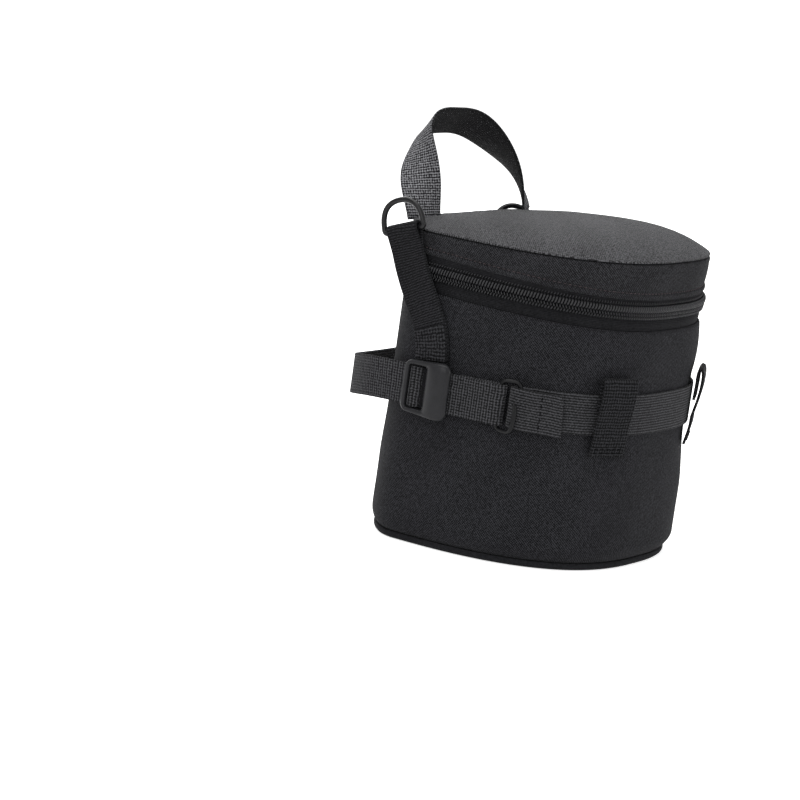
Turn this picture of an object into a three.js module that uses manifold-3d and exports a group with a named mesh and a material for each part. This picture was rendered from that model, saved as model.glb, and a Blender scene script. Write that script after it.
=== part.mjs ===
// Padded lens pouch: a D-shaped case with a flat back and a zipped lid, a webbing handle, two tabs with
// D-rings, and a waist strap with a buckle and a wire hook. Millimetres, +Z up. The origin is on the base,
// midway between the nose, which points to -Y, and the flat back. The left side is -X.

import * as THREE from 'three';
import { mergeVertices } from 'three/addons/utils/BufferGeometryUtils.js';
import Module from 'manifold-3d';

const wasm = await Module();
wasm.setup();

// Case, seen from above
const case_width = 158.4;
const front_reach = 94.3;
const rear_reach = 32.5;
const back_width = 88.4;
const corner_round = 7.6;
const smallest_round = 2;
const front_fullness = 2.6;
const corner_margin_share = 0.75;
const round_margin_share = 0.5;
const back_seam_share = 0.8;
const seam_gap_share = 0.003;
const lining_step_share = 0.82;
const side_steps = 25;
const corner_start_share = 0.79;
const corner_end_share = 0.848;
const corner_steps = 6;

// Case, seen from the side
const seam_height = 152;
const lid_crown = 7.5;
const crown_power = 3.4;
const crown_tilt = 0.85;
const crown_tilt_reach = 60;
const zip_front_drop = 24.5;
const zip_back_drop = 19.3;
const mouth_drop = 9.5;
const band_front_gap = 5.6;
const band_gap_growth = 2.9;

// Layers of the wall
const fabric = 1;
const foam = 6.5;
const lining_fabric = 0.8;
const gap = 0.3;
const board = 6;
const band_foam_least = 3;
const piping_radius = 1.5;
const piping_out = -0.7;
const rim_height = 2.4;
const hinge_strip_height = 5;
const hinge_strip_out = 0.6;
const hinge_offset = 0.6;

// Zip
const tape_thickness = 0.8;
const tape_recess = 1.3;
const tape_slot = 1.2;
const tape_length = 13;
const coil_height = 3.2;
const coil_back = 1;
const coil_out = 0.9;
const coil_shoulder = 0.7;
const coil_pitch = 4.2;
const coil_rib = 0.5;
const coil_gap = 0.15;
const coil_mesh = 0.45;
const parted_gap = 0.55;
const coil_left_share = 0.785;
const coil_mesh_rear = 50;
const slider_run = 20;
const slider_length = 9;
const slider_height = 9;
const slider_plate = 1.2;
const slider_play = 0.7;
const slider_web = 0.6;
const slider_web_length = 7;
const slider_round = 3;
const slider_station = 140;
const slider_tail = 11;
const crown_rise = 2.5;
const crown_wire = 0.7;
const crown_span = 7;
const pull_length = 22.2;
const pull_width = 8;
const pull_thickness = 1.6;
const pull_eye = 1.15;
const pull_eye_wall = 0.85;
const pull_lean = 7;

// Webbing
const webbing_width = 20;
const webbing = 1.4;
const strap_height = 77.5;
const strap_step = 4;

// Waist strap, with places along the wall measured from the nose
const strap_right_end = 141;
const strap_left_end = 66;
const strap_loop_end = 88;
const strap_loop_rise = 5.4;

// Wire hook
const hook_wire = 1.1;
const hook_bar_station = 95.5;
const hook_bar_out = 3.7;
const hook_reach = 8.5;
const hook_prong_out = 8.6;
const hook_prong_top = 79;
const hook_clear = 0.6;

// Adjuster strap, with its straight run measured from the case's widest line. Its loop behind the back is
// given as distance in from that run, distance behind the back, and drop.
const return_end = 117;
const adjuster_out = 3.5;
const adjuster_join = 18.9;
const adjuster_leave = 6.1;
const rear_loop = [
  [0.4, -18.4, 0.3], [3.7, -6.4, 1.5], [12.7, 6.1, 4], [25.2, 15.1, 6.5], [41.7, 20.6, 8.3], [61.7, 22.6, 9],
];
const rear_stand = 23.1;
const rear_drop = 9;
const overlap_start = 118;

// Buckle
const buckle_length = 26;
const buckle_height = 28.4;
const buckle_rear_height = 25.6;
const buckle_round = 5;
const buckle_plate = 2.6;
const buckle_window = 12;
const buckle_window_height = 21.4;
const rear_bar = 3;
const centre_bar = 6;
const centre_bar_setback = 1.8;
const centre_bar_thickness = 1.8;
const buckle_play = 0.4;
const buckle_bevel = 0.8;
const buckle_ahead = 10.9;

// Attachment loops on the front
const loop_station = 41;
const loop_low = 57.5;
const loop_high = 96;
const loop_bulge = 5.6;

// Ring tabs and D-rings: each tab's line is given as place, height above its lower end, and distance off
// the wall.
// The left one's place is behind the case's widest line, the right one's along the wall from the nose.
const tab_clear = 3.9;
const tab_width = 19;
const left_tab_run = [
  [-10.4, 0, 0.4], [-8.9, 10, 0.4], [-5.4, 19, 0.8], [0.1, 29, 1.6], [5.6, 39, 1.9], [10.1, 48.5, 1.9],
  [13.3, 56.8, 1.9],
];
const right_tab_run = [
  [140, 0, 0.2], [141, 10, 0.5], [145, 19, 1.4], [152, 28, 2.2], [161, 36, 3.6], [170, 43, 5],
  [178, 47.5, 7.2],
];
const tab_step = 7;
const tab_eye = 2.2;
const tab_gap = 0.3;
const ring_width = 25.2;
const ring_height = 17.4;
const ring_wire = 1.4;
const ring_round = 1.6;

// Handle
const handle_foot = 49.2;
const handle_shift = 1.5;
const handle_place = 56.5;
const handle_base = 152.1;
const handle_foot_height = 156.4;
const handle_rise = 48;
const handle_lean = 15.8;
const handle_sway = 16.6;
const handle_sway_twice = 13.5;
const handle_push = 4.5;
const handle_fullness = 3;
const handle_twist = 69.4;
const handle_skew = -31.5;
const handle_skew_twice = -13.2;
const handle_steps = 54;

// Sides and steps of round things
const wire_sides = 8;
const ring_steps = 40;
const cut_overrun = 0.5;

const case_depth = front_reach + rear_reach;
const nose = -case_depth / 2;
const back = case_depth / 2;
const widest = back - rear_reach;
const wall_side = case_width / 2;
const foam_outer = fabric + gap;
const foam_inner = foam_outer + foam;
const lining_outer = foam_inner + gap;
const lining_inner = lining_outer + lining_fabric;
const floor_top = fabric + gap + board;

// Quarter superellipse from the nose to the widest line.
class FrontCurve extends THREE.Curve {
  constructor(margin) {
    super();
    this.margin = margin;
  }

  getPoint(t, target = new THREE.Vector2()) {
    const angle = t * Math.PI / 2;
    const power = 2 / front_fullness;
    const x = (wall_side - this.margin) * Math.sin(angle) ** power;
    return target.set(x, widest - (front_reach - this.margin) * Math.cos(angle) ** power);
  }
}

// Parabola from the widest line to the start of the rounded back corner.
class SideCurve extends THREE.Curve {
  constructor(margin, cornerX, end) {
    super();
    this.margin = margin;
    this.cornerX = cornerX;
    this.end = end;
  }

  getPoint(t, target = new THREE.Vector2()) {
    const v = t * this.end;
    const x = wall_side - this.margin;
    return target.set(x - (x - this.cornerX) * v * v, widest + (rear_reach - this.margin) * v);
  }
}

// Right half of the outline, from the nose to the middle of the back, moved inwards by a margin.
const outlines = new Map();
function outline(margin) {
  if (!outlines.has(margin)) {
    const cornerX = back_width / 2 - margin * corner_margin_share;
    const round = Math.max(corner_round - margin * round_margin_share, smallest_round);
    const backY = back - margin;
    const slant = Math.hypot(2 * (wall_side - margin - cornerX), rear_reach - margin);
    const side = new SideCurve(margin, cornerX, 1 - round / slant);
    const half = new THREE.CurvePath();
    half.add(new FrontCurve(margin));
    half.add(side);
    half.add(new THREE.QuadraticBezierCurve(side.getPoint(1), new THREE.Vector2(cornerX, backY),
      new THREE.Vector2(cornerX - round, backY)));
    half.add(new THREE.LineCurve(new THREE.Vector2(cornerX - round, backY), new THREE.Vector2(0, backY)));
    outlines.set(margin, half);
  }
  return outlines.get(margin);
}

// Point of the outline: share 0 is the nose, 1 and -1 are the middle of the back, negative on the left.
function outlinePoint(share, margin = 0) {
  const p = outline(margin).getPoint(Math.min(Math.abs(share), 1));
  return share < 0 ? new THREE.Vector2(-p.x, p.y) : p;
}

const half_girth = outline(0).getLength();

// Frame on the wall at a distance from the nose, negative on the left.
function wallFrame(station) {
  const step = coil_gap / half_girth;
  const share = station / half_girth;
  const p = outlinePoint(share);
  const tangent = outlinePoint(share + step).sub(outlinePoint(share - step)).normalize();
  const along = new THREE.Vector3(tangent.x, tangent.y, 0);
  const out = new THREE.Vector3(tangent.y, -tangent.x, 0);
  return { point: new THREE.Vector3(p.x, p.y, 0), along, out };
}

function onWall(station, out, z) {
  const frame = wallFrame(station);
  return frame.point.clone().addScaledVector(frame.out, out).setZ(z);
}

function range(from, to, steps) {
  return Array.from({ length: steps + 1 }, (_, i) => from + (to - from) * i / steps);
}

// The zip rises from the nose and levels out towards the back.
function zipHeight(y) {
  const share = (back - y) / case_depth;
  return seam_height - zip_back_drop - (zip_front_drop - zip_back_drop) * share * share;
}

function bandEdge(y) {
  return zipHeight(y) + band_front_gap + band_gap_growth * (y - nose) / case_depth;
}

// Geometry

function signedVolume(positions, indices) {
  let volume = 0;
  const [a, b, c] = [new THREE.Vector3(), new THREE.Vector3(), new THREE.Vector3()];
  for (let i = 0; i < indices.length; i += 3) {
    a.fromArray(positions, 3 * indices[i]);
    b.fromArray(positions, 3 * indices[i + 1]);
    c.fromArray(positions, 3 * indices[i + 2]);
    volume += a.dot(b.cross(c));
  }
  return volume;
}

function closedGeometry(points, indices) {
  const positions = points.flatMap((p) => [p.x, p.y, p.z]);
  if (signedVolume(positions, indices) < 0) {
    indices.reverse();
  }
  const geometry = new THREE.BufferGeometry();
  geometry.setAttribute('position', new THREE.Float32BufferAttribute(positions, 3));
  geometry.setIndex(indices);
  return geometry;
}

// Triangles of a flat ring, all turned the way that the ring runs.
function fill(ring) {
  const normal = new THREE.Vector3();
  const centre = new THREE.Vector3();
  ring.forEach((p) => centre.addScaledVector(p, 1 / ring.length));
  ring.forEach((p, i) => {
    const q = ring[(i + 1) % ring.length];
    normal.add(p.clone().sub(centre).cross(q.clone().sub(centre)));
  });
  normal.normalize();
  const across = ring[1].clone().sub(ring[0]).cross(normal).normalize();
  const along = normal.clone().cross(across);
  const flat = ring.map((p) => {
    const q = p.clone().sub(centre);
    return new THREE.Vector2(q.dot(along), q.dot(across));
  });
  const turn = Math.sign(THREE.ShapeUtils.area(flat));
  return THREE.ShapeUtils.triangulateShape(flat, []).map(([a, b, c]) => {
    const area = THREE.ShapeUtils.area([flat[a], flat[b], flat[c]]);
    return Math.sign(area) === turn ? [a, b, c] : [a, c, b];
  });
}

// Closed body through rings of equal counts, its ends filled unless the run closes on itself.
function loft(rings, closes = false) {
  const count = rings[0].length;
  const indices = [];
  const last = closes ? rings.length : rings.length - 1;
  for (let i = 0; i < last; i++) {
    const a = i * count;
    const b = ((i + 1) % rings.length) * count;
    for (let j = 0; j < count; j++) {
      const k = (j + 1) % count;
      indices.push(a + j, b + j, b + k, a + j, b + k, a + k);
    }
  }
  if (!closes) {
    const far = (rings.length - 1) * count;
    fill(rings[0]).forEach(([a, b, c]) => indices.push(a, b, c));
    fill(rings[rings.length - 1]).forEach(([a, b, c]) => indices.push(far + a, far + c, far + b));
  }
  return closedGeometry(rings.flat(), indices);
}

// Body swept along the outline. The section gives [margin, height] pairs at each share.
function wallSweep(shares, section, closes = false) {
  const rings = shares.map((share, i) => {
    const y = outlinePoint(share).y;
    return section(y, share, i).map(([margin, z]) => {
      const p = outlinePoint(share, margin);
      return new THREE.Vector3(p.x, p.y, z);
    });
  });
  return loft(rings, closes);
}

// Shares from the nose to the middle of the back, closer together round the corner.
const side_shares = range(0, corner_start_share, side_steps)
  .concat(range(corner_start_share, corner_end_share, corner_steps).slice(1));
function mirrored(shares) {
  return shares.slice(1).map((share) => -share).reverse().concat(shares);
}
const rear_start = back_seam_share + seam_gap_share;
const rear_shares = [rear_start, ...side_shares.filter((share) => share > rear_start)];
const whole_run = mirrored([...side_shares, 1]).slice(1);
const front_run = mirrored([...side_shares.filter((share) => share < back_seam_share), back_seam_share]);
const rear_run = [...rear_shares, 1, ...rear_shares.map((share) => -share).reverse()];

// Rectangle section between two margins and two heights.
function box(outer, inner, low, high) {
  return [[outer, low], [outer, high], [inner, high], [inner, low]];
}

// Panel with the outline's shape, crowned above, with a flat or crowned underside. The crown is fullest
// in front.
function panel(margin, low, thickness, crown = 0, hollow = 0) {
  const shares_in = crown || hollow ? [1, 0.88, 0.7, 0.46, 0.22] : [1];
  const centre = new THREE.Vector2(0, widest / 2);
  const ring = whole_run.map((share) => outlinePoint(share, margin));
  const points = [];
  const rows = [];
  const row = (scale, z, rise) => {
    rows.push(points.length);
    ring.forEach((p) => {
      const q = centre.clone().lerp(p, scale);
      const share = 1 - crown_tilt * (q.y - centre.y) / crown_tilt_reach;
      points.push(new THREE.Vector3(q.x, q.y, z + rise * (1 - scale ** crown_power) * share));
    });
  };
  [...shares_in].reverse().forEach((scale) => row(scale, low, hollow));
  shares_in.forEach((scale) => row(scale, low + thickness, crown));
  const bottom = points.push(new THREE.Vector3(centre.x, centre.y, low + hollow)) - 1;
  const top = points.push(new THREE.Vector3(centre.x, centre.y, low + thickness + crown)) - 1;
  const indices = [];
  const count = ring.length;
  const final = rows[rows.length - 1];
  for (let j = 0; j < count; j++) {
    const k = (j + 1) % count;
    indices.push(bottom, k, j, top, final + j, final + k);
    for (let r = 0; r + 1 < rows.length; r++) {
      const [a, b] = [rows[r], rows[r + 1]];
      indices.push(a + j, a + k, b + k, a + j, b + k, b + j);
    }
  }
  return closedGeometry(points, indices);
}

// Strip of webbing through centres, each with the direction of its width.
function strip(centres, widths, thickness = webbing, width = webbing_width) {
  const rings = centres.map((centre, i) => {
    const before = centres[Math.max(i - 1, 0)];
    const after = centres[Math.min(i + 1, centres.length - 1)];
    const tangent = after.clone().sub(before).normalize();
    const across = widths[i].clone().addScaledVector(tangent, -widths[i].dot(tangent)).normalize();
    const normal = tangent.cross(across);
    return [[1, 1], [-1, 1], [-1, -1], [1, -1]].map(([a, b]) => centre.clone()
      .addScaledVector(across, a * width / 2).addScaledVector(normal, b * thickness / 2));
  });
  return loft(rings);
}

// Smooth curve through points, sampled about every step.
function smooth(points, step) {
  const curve = new THREE.CatmullRomCurve3(points, false, 'centripetal');
  curve.arcLengthDivisions = points.length * ring_steps;
  return curve.getSpacedPoints(Math.ceil(curve.getLength() / step));
}

function solid(geometry) {
  const bare = geometry.clone();
  bare.deleteAttribute('normal');
  bare.deleteAttribute('uv');
  const merged = mergeVertices(bare);
  return new wasm.Manifold(new wasm.Mesh({
    numProp: 3,
    vertProperties: Float32Array.from(merged.attributes.position.array),
    triVerts: Uint32Array.from(merged.index.array),
  }));
}

function geometryOf(body) {
  const mesh = body.getMesh();
  const geometry = new THREE.BufferGeometry();
  geometry.setAttribute('position', new THREE.Float32BufferAttribute(mesh.vertProperties, 3));
  geometry.setIndex(Array.from(mesh.triVerts));
  return geometry;
}

// Finishes
const shell_cloth = new THREE.MeshStandardMaterial({ color: 0x26272a, roughness: 0.95 });
const trim_cloth = new THREE.MeshStandardMaterial({ color: 0x1c1d1f, roughness: 0.9 });
const inner_cloth = new THREE.MeshStandardMaterial({ color: 0x5b5e63, roughness: 0.95 });
const padding = new THREE.MeshStandardMaterial({ color: 0x3c3d40, roughness: 1 });
const band_cloth = new THREE.MeshStandardMaterial({ color: 0x2c2d2f, roughness: 0.85 });
const coil_nylon = new THREE.MeshStandardMaterial({ color: 0x202124, roughness: 0.45 });
const moulded = new THREE.MeshStandardMaterial({ color: 0x2d2e30, roughness: 0.4 });
const black_metal = new THREE.MeshStandardMaterial({ color: 0x17181a, roughness: 0.25, metalness: 0.9 });

const pouch = new THREE.Group();
function add(name, geometry, material, parent = pouch) {
  const mesh = new THREE.Mesh(geometry, material.clone());
  mesh.name = name;
  parent.add(mesh);
  return mesh;
}

// Base: an outer panel, a foam board above it and piping round the bottom edge
add('base_panel', panel(foam_outer + piping_radius / 2, 0, fabric), shell_cloth);
add('base_board', panel(foam_outer, fabric + gap, board), padding);
const piping_height = piping_radius + gap;
add('base_piping', wallSweep(whole_run, () => range(0, 1, wire_sides - 2).slice(0, -1).map((turn) => {
  const angle = 2 * Math.PI * turn;
  const reach = piping_radius / 2;
  return [reach * Math.cos(angle) - piping_out - gap, piping_height + piping_radius * Math.sin(angle)];
}), true), trim_cloth);

// Wall: outer cloth round the front and sides, the back panel, foam behind both, and the lining
const wall_low = piping_height + piping_radius + gap;
const frontSection = (y) => box(0, fabric, wall_low, zipHeight(y) - mouth_drop);
add('front_wall', wallSweep(front_run, frontSection), shell_cloth);
const back_top = seam_height - fabric - gap - hinge_offset;
add('back_panel', wallSweep(rear_run, () => box(0, fabric, wall_low, back_top)), shell_cloth);
const foam_low = floor_top + gap;
const tape_low = tape_slot + tape_length;
const tape_inner = tape_recess + tape_thickness + gap;
add('front_foam', wallSweep(front_run, (y) => {
  const zip = zipHeight(y);
  const top = zip - mouth_drop - rim_height - gap;
  const ledge = zip - tape_low - gap;
  return [
    [foam_outer, foam_low], [foam_outer, ledge], [tape_inner, ledge], [tape_inner, top], [foam_inner, top],
    [foam_inner, foam_low],
  ];
}), padding);
add('back_foam', wallSweep(rear_run, () => box(foam_outer, foam_inner, foam_low, back_top)), padding);
const lining_wall = wallSweep(whole_run, (y, share) => {
  const top = Math.abs(share) > lining_step_share ? back_top : zipHeight(y) - mouth_drop - rim_height - gap;
  return box(lining_outer, lining_inner, foam_low, top);
}, true);
const floor_lining = panel(lining_inner - lining_fabric / 2, foam_low, lining_fabric);
add('lining', geometryOf(solid(lining_wall).add(solid(floor_lining))), inner_cloth);
add('mouth_binding', wallSweep(front_run, (y) => {
  const top = zipHeight(y) - mouth_drop;
  return box(tape_inner, lining_inner, top - rim_height, top);
}), trim_cloth);
const hinge_run = [corner_end_share, 1, -corner_end_share];
add('hinge_strip', wallSweep(hinge_run, () => box(-gap - hinge_strip_out, -gap, back_top - hinge_strip_height,
  back_top + gap)), trim_cloth);

// Lid: a crowned top, its band, padding and lining
const lid = new THREE.Group();
pouch.add(lid);
add('lid_top', panel(gap, seam_height - fabric / 2, fabric, lid_crown, lid_crown), shell_cloth, lid);
const band_top = seam_height - fabric / 2 - gap;
add('lid_band', wallSweep(front_run, (y) => box(0, fabric, bandEdge(y), band_top)), band_cloth, lid);
const lid_pad_low = band_top - foam;
const lid_inner = lining_inner + gap;
add('lid_foam', panel(lid_inner, lid_pad_low + gap, foam - gap, lid_crown, 0), padding, lid);
const band_foam_inner = foam_outer + foam - fabric;
add('lid_band_foam', wallSweep(front_run, (y) => {
  const low = Math.min(zipHeight(y) + mouth_drop, lid_pad_low - band_foam_least);
  return box(tape_inner, band_foam_inner, low, lid_pad_low);
}), padding, lid);
add('lid_lining', panel(lid_inner, lid_pad_low - lining_fabric, lining_fabric), inner_cloth, lid);

// Zip: two tapes, and two coils whose ribs mesh, except at the rear and over the slider's run
add('lower_zip_tape', wallSweep(front_run, (y) => {
  const zip = zipHeight(y);
  return box(tape_recess, tape_recess + tape_thickness, zip - tape_low, zip - tape_slot);
}), trim_cloth);
add('upper_zip_tape', wallSweep(front_run, (y) => {
  const zip = zipHeight(y);
  return box(tape_recess, tape_recess + tape_thickness, zip + tape_slot, zip + tape_low);
}), trim_cloth, lid);

const coil_start = -coil_left_share * half_girth;
const coil_end = slider_station + slider_tail;
const coil_stations = range(coil_start, coil_end, Math.round((coil_end - coil_start) / coil_pitch) * 2);
function coil(side) {
  return wallSweep(coil_stations.map((station) => station / half_girth), (y, share, i) => {
    const zip = zipHeight(y);
    const wave = i % 2 ? 1 : -1;
    const parted = share * half_girth > slider_station - slider_run - slider_length;
    const meshes = !parted && y < coil_mesh_rear;
    const edge = (meshes ? wave * coil_mesh : 0) + side * (coil_gap + (parted ? parted_gap : 0));
    const far = side * coil_height;
    const rib = coil_out + (i % 2 ? coil_rib : 0);
    const shoulder = side * coil_shoulder;
    return [[coil_back, zip + far], [-coil_out + coil_shoulder, zip + far], [-rib, zip + far - shoulder],
      [-rib, zip + edge + shoulder], [-coil_out + coil_shoulder, zip + edge], [coil_back, zip + edge]];
  });
}
add('lower_zip_coil', coil(-1), coil_nylon);
add('upper_zip_coil', coil(1), coil_nylon, lid);

// Slider on the right side: two plates joined by a web, with a crown that carries the pull
const slider_rest = wallFrame(slider_station).point;
slider_rest.z = zipHeight(slider_rest.y);
const slider_stop = wallFrame(slider_station - slider_run).point;
slider_stop.z = zipHeight(slider_stop.y);
function plate(from, to, length, height, round) {
  const shape = new THREE.Shape();
  const [l, h] = [length / 2, height / 2];
  shape.moveTo(-l + round, -h);
  shape.lineTo(l - round, -h);
  shape.quadraticCurveTo(l, -h, l, -h + round);
  shape.lineTo(l, h - round);
  shape.quadraticCurveTo(l, h, l - round, h);
  shape.lineTo(-l + round, h);
  shape.quadraticCurveTo(-l, h, -l, h - round);
  shape.lineTo(-l, -h + round);
  shape.quadraticCurveTo(-l, -h, -l + round, -h);
  const options = { depth: to - from, bevelEnabled: false, curveSegments: 4 };
  const geometry = new THREE.ExtrudeGeometry(shape, options);
  geometry.translate(0, 0, from);
  return geometry;
}
const front_plate = coil_out + coil_rib + slider_play;
const rear_plate = -(tape_recess + tape_thickness + slider_play);
const crown_bar = front_plate + slider_plate + crown_rise;
const slider_crown = new THREE.CatmullRomCurve3([
  new THREE.Vector3(-crown_span / 2, 0, front_plate + slider_plate / 2),
  new THREE.Vector3(-crown_span / 2, 0, crown_bar - crown_wire),
  new THREE.Vector3(-crown_span / 2 + crown_wire, 0, crown_bar),
  new THREE.Vector3(crown_span / 2 - crown_wire, 0, crown_bar),
  new THREE.Vector3(crown_span / 2, 0, crown_bar - crown_wire),
  new THREE.Vector3(crown_span / 2, 0, front_plate + slider_plate / 2),
], false, 'centripetal');
function roundShape(radius, sides) {
  const shape = new THREE.Shape();
  range(0, 1, sides).slice(0, -1).forEach((turn, i) => {
    const p = [radius * Math.cos(2 * Math.PI * turn), radius * Math.sin(2 * Math.PI * turn)];
    return i ? shape.lineTo(...p) : shape.moveTo(...p);
  });
  return shape;
}
function tube(curve, radius, steps, sides = wire_sides) {
  const options = { extrudePath: curve, steps, bevelEnabled: false };
  return new THREE.ExtrudeGeometry(roundShape(radius, sides), options);
}
const slider_face = [slider_length, slider_height, slider_round];
const slider_body = solid(plate(front_plate, front_plate + slider_plate, ...slider_face))
  .add(solid(plate(rear_plate - slider_plate, rear_plate, ...slider_face)))
  .add(solid(plate(rear_plate - slider_plate / 2, front_plate + slider_plate / 2, slider_web_length,
    slider_web, slider_web / 4)))
  .add(solid(tube(slider_crown, crown_wire, 14, 6)));
// The slider's own axes: x back along the chain, y up the wall, z outwards. It runs straight to its stop.
const slider_along = slider_rest.clone().sub(slider_stop).normalize();
const slider_out = slider_along.clone().cross(new THREE.Vector3(0, 0, 1)).normalize();
const slider_up = slider_out.clone().cross(slider_along);
const slider_turn = new THREE.Matrix4().makeBasis(slider_along, slider_up, slider_out);
slider_turn.setPosition(slider_rest);
add('zip_slider', geometryOf(slider_body).applyMatrix4(slider_turn), black_metal);

const pull_shape = new THREE.Shape();
const pull_half = pull_width / 2;
const eye_reach = pull_eye + pull_eye_wall;
pull_shape.moveTo(-pull_half / 2, -eye_reach);
pull_shape.lineTo(pull_half / 2, -eye_reach);
pull_shape.lineTo(pull_half / 2, eye_reach * 2);
pull_shape.quadraticCurveTo(pull_half, pull_length / 4, pull_half, pull_length / 2);
pull_shape.lineTo(pull_half, pull_length - pull_half);
pull_shape.quadraticCurveTo(pull_half, pull_length, 0, pull_length);
pull_shape.quadraticCurveTo(-pull_half, pull_length, -pull_half, pull_length - pull_half);
pull_shape.lineTo(-pull_half, pull_length / 2);
pull_shape.quadraticCurveTo(-pull_half, pull_length / 4, -pull_half / 2, eye_reach * 2);
pull_shape.closePath();
const pull_plate = new THREE.ExtrudeGeometry(pull_shape, { depth: pull_thickness, bevelEnabled: false,
  curveSegments: 5 });
pull_plate.translate(0, 0, -pull_thickness / 2);
const pull_barrel = new THREE.CylinderGeometry(eye_reach, eye_reach, pull_half, wire_sides * 2);
pull_barrel.rotateZ(Math.PI / 2);
const pull_bore = new THREE.CylinderGeometry(pull_eye, pull_eye, pull_half + 2 * cut_overrun, wire_sides * 2);
pull_bore.rotateZ(Math.PI / 2);
const pull_solid = solid(pull_plate).add(solid(pull_barrel)).subtract(solid(pull_bore));
const pull_geometry = geometryOf(pull_solid);
pull_geometry.rotateX(THREE.MathUtils.degToRad(-pull_lean));
pull_geometry.translate(0, 0, crown_bar);
add('zip_pull', pull_geometry.applyMatrix4(slider_turn), moulded);

// Waist strap: one length of webbing, its left end folded into a loop for the hook
const strap_in = gap + webbing / 2;
const strap_over = strap_in + webbing + gap;
const strap_layers = [
  ...range(strap_right_end, -strap_loop_end + strap_loop_rise, 46).map((station) => [station, strap_in]),
  [-strap_loop_end - strap_loop_rise / 4, strap_in + strap_loop_rise / 8],
  [-strap_loop_end - strap_loop_rise / 2, strap_in + strap_loop_rise / 2],
  [-strap_loop_end - strap_loop_rise / 4, strap_in + strap_loop_rise * 7 / 8],
  [-strap_loop_end + strap_loop_rise, strap_in + strap_loop_rise],
  [-strap_loop_end + 3 * strap_loop_rise, strap_over],
  [-strap_left_end, strap_over],
];
function flatStrap(points, step = strap_step) {
  const centres = smooth(points, step);
  return strip(centres, centres.map(() => new THREE.Vector3(0, 0, 1)));
}
const waist_run = strap_layers.map(([station, out]) => onWall(station, out, strap_height));
add('waist_strap', flatStrap(waist_run, 3), band_cloth);

// Wire hook: one bar in the adjuster's fold, one in the strap's loop, and a free prong in front
const strap_top = strap_height + webbing_width / 2;
const strap_low = strap_height - webbing_width / 2;
const hook_top = strap_top + hook_clear + hook_wire;
const hook_bottom = strap_low - hook_clear - hook_wire;
const far_bar = hook_bar_station - hook_reach;
const hook_points = [
  [far_bar, hook_bar_out, strap_low + hook_clear],
  [far_bar, hook_bar_out, strap_height],
  [far_bar, hook_bar_out, hook_top - hook_wire * 1.5],
  [far_bar + hook_wire, hook_bar_out, hook_top],
  [hook_bar_station - hook_wire, hook_bar_out, hook_top],
  [hook_bar_station, hook_bar_out, hook_top - hook_wire * 1.5],
  [hook_bar_station, hook_bar_out, strap_height],
  [hook_bar_station, hook_bar_out, hook_bottom + hook_wire * 1.5],
  [hook_bar_station - hook_wire, hook_bar_out + hook_wire / 2, hook_bottom],
  [far_bar + 2 * hook_wire, hook_prong_out - hook_wire, hook_bottom],
  [far_bar + hook_wire, hook_prong_out, hook_bottom + hook_wire * 1.5],
  [far_bar + hook_wire / 2, hook_prong_out, hook_prong_top - hook_wire],
  [far_bar + hook_wire, hook_prong_out, hook_prong_top],
];
const hook_curve = new THREE.CatmullRomCurve3(hook_points.map(([s, out, z]) => onWall(-s, out, z)), false,
  'centripetal');
add('g_hook', tube(hook_curve, hook_wire, 60, 6), black_metal);

// Adjuster strap: back from the hook as a short return, forward through the buckle, and round behind the back
const strap_out = adjuster_out - webbing / 2;
const left_run = [
  ...range(return_end, hook_bar_station + strap_step, 4).map((s) => onWall(-s, strap_in, strap_height)),
  onWall(-hook_bar_station + hook_wire * 1.2, hook_bar_out - hook_wire * 1.4, strap_height),
  onWall(-hook_bar_station + hook_wire * 2.1, hook_bar_out, strap_height),
  onWall(-hook_bar_station + hook_wire * 1.2, hook_bar_out + hook_wire * 1.4, strap_height),
  onWall(-hook_bar_station - hook_wire, hook_bar_out + hook_wire + webbing * 0.8, strap_height),
  onWall(-hook_bar_station - strap_step * 2, strap_out + webbing * 1.6, strap_height),
  ...range(hook_bar_station + strap_step * 4, overlap_start, 2).map((s) => onWall(-s, adjuster_out + gap,
    strap_height)),
];
const adjuster_side = wall_side + adjuster_out;
const straight_side = (side) => range(widest - adjuster_join, widest + adjuster_leave, 3)
  .map((y) => new THREE.Vector3(side * adjuster_side, y, strap_height));
const loop_side = (side) => rear_loop.map(([inset, behind, drop]) => new THREE.Vector3(
  side * (adjuster_side - inset), back + behind, strap_height - drop));
const right_end = range(overlap_start, strap_right_end, 4).reverse()
  .map((s) => onWall(s, strap_over, strap_height));
const adjuster_points = [
  ...left_run, ...straight_side(-1), ...loop_side(-1),
  new THREE.Vector3(0, back + rear_stand, strap_height - rear_drop),
  ...loop_side(1).reverse(), ...right_end,
];
add('adjuster_strap', flatStrap(adjuster_points, 3), band_cloth);

// Buckle: a plate with one window, and a bar set back behind the strap
const buckle_front = adjuster_out + webbing / 2 + buckle_play;
const buckle_shape = new THREE.Shape();
const [bl, bh, br] = [buckle_length / 2, buckle_height / 2, buckle_round];
const bh_rear = buckle_rear_height / 2;
buckle_shape.moveTo(-bl + br, -bh_rear);
buckle_shape.lineTo(bl - br, -bh);
buckle_shape.quadraticCurveTo(bl, -bh, bl, -bh + br);
buckle_shape.lineTo(bl, bh - br);
buckle_shape.quadraticCurveTo(bl, bh, bl - br, bh);
buckle_shape.lineTo(-bl + br, bh_rear);
buckle_shape.quadraticCurveTo(-bl, bh_rear, -bl, bh_rear - br);
buckle_shape.lineTo(-bl, -bh_rear + br);
buckle_shape.quadraticCurveTo(-bl, -bh_rear, -bl + br, -bh_rear);
const buckle_plate_solid = new THREE.ExtrudeGeometry(buckle_shape, { depth: buckle_plate - 2 * buckle_bevel,
  bevelThickness: buckle_bevel, bevelSize: buckle_bevel, bevelOffset: -buckle_bevel, bevelSegments: 2,
  curveSegments: 5 });
buckle_plate_solid.translate(0, 0, buckle_front + buckle_bevel);
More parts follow.
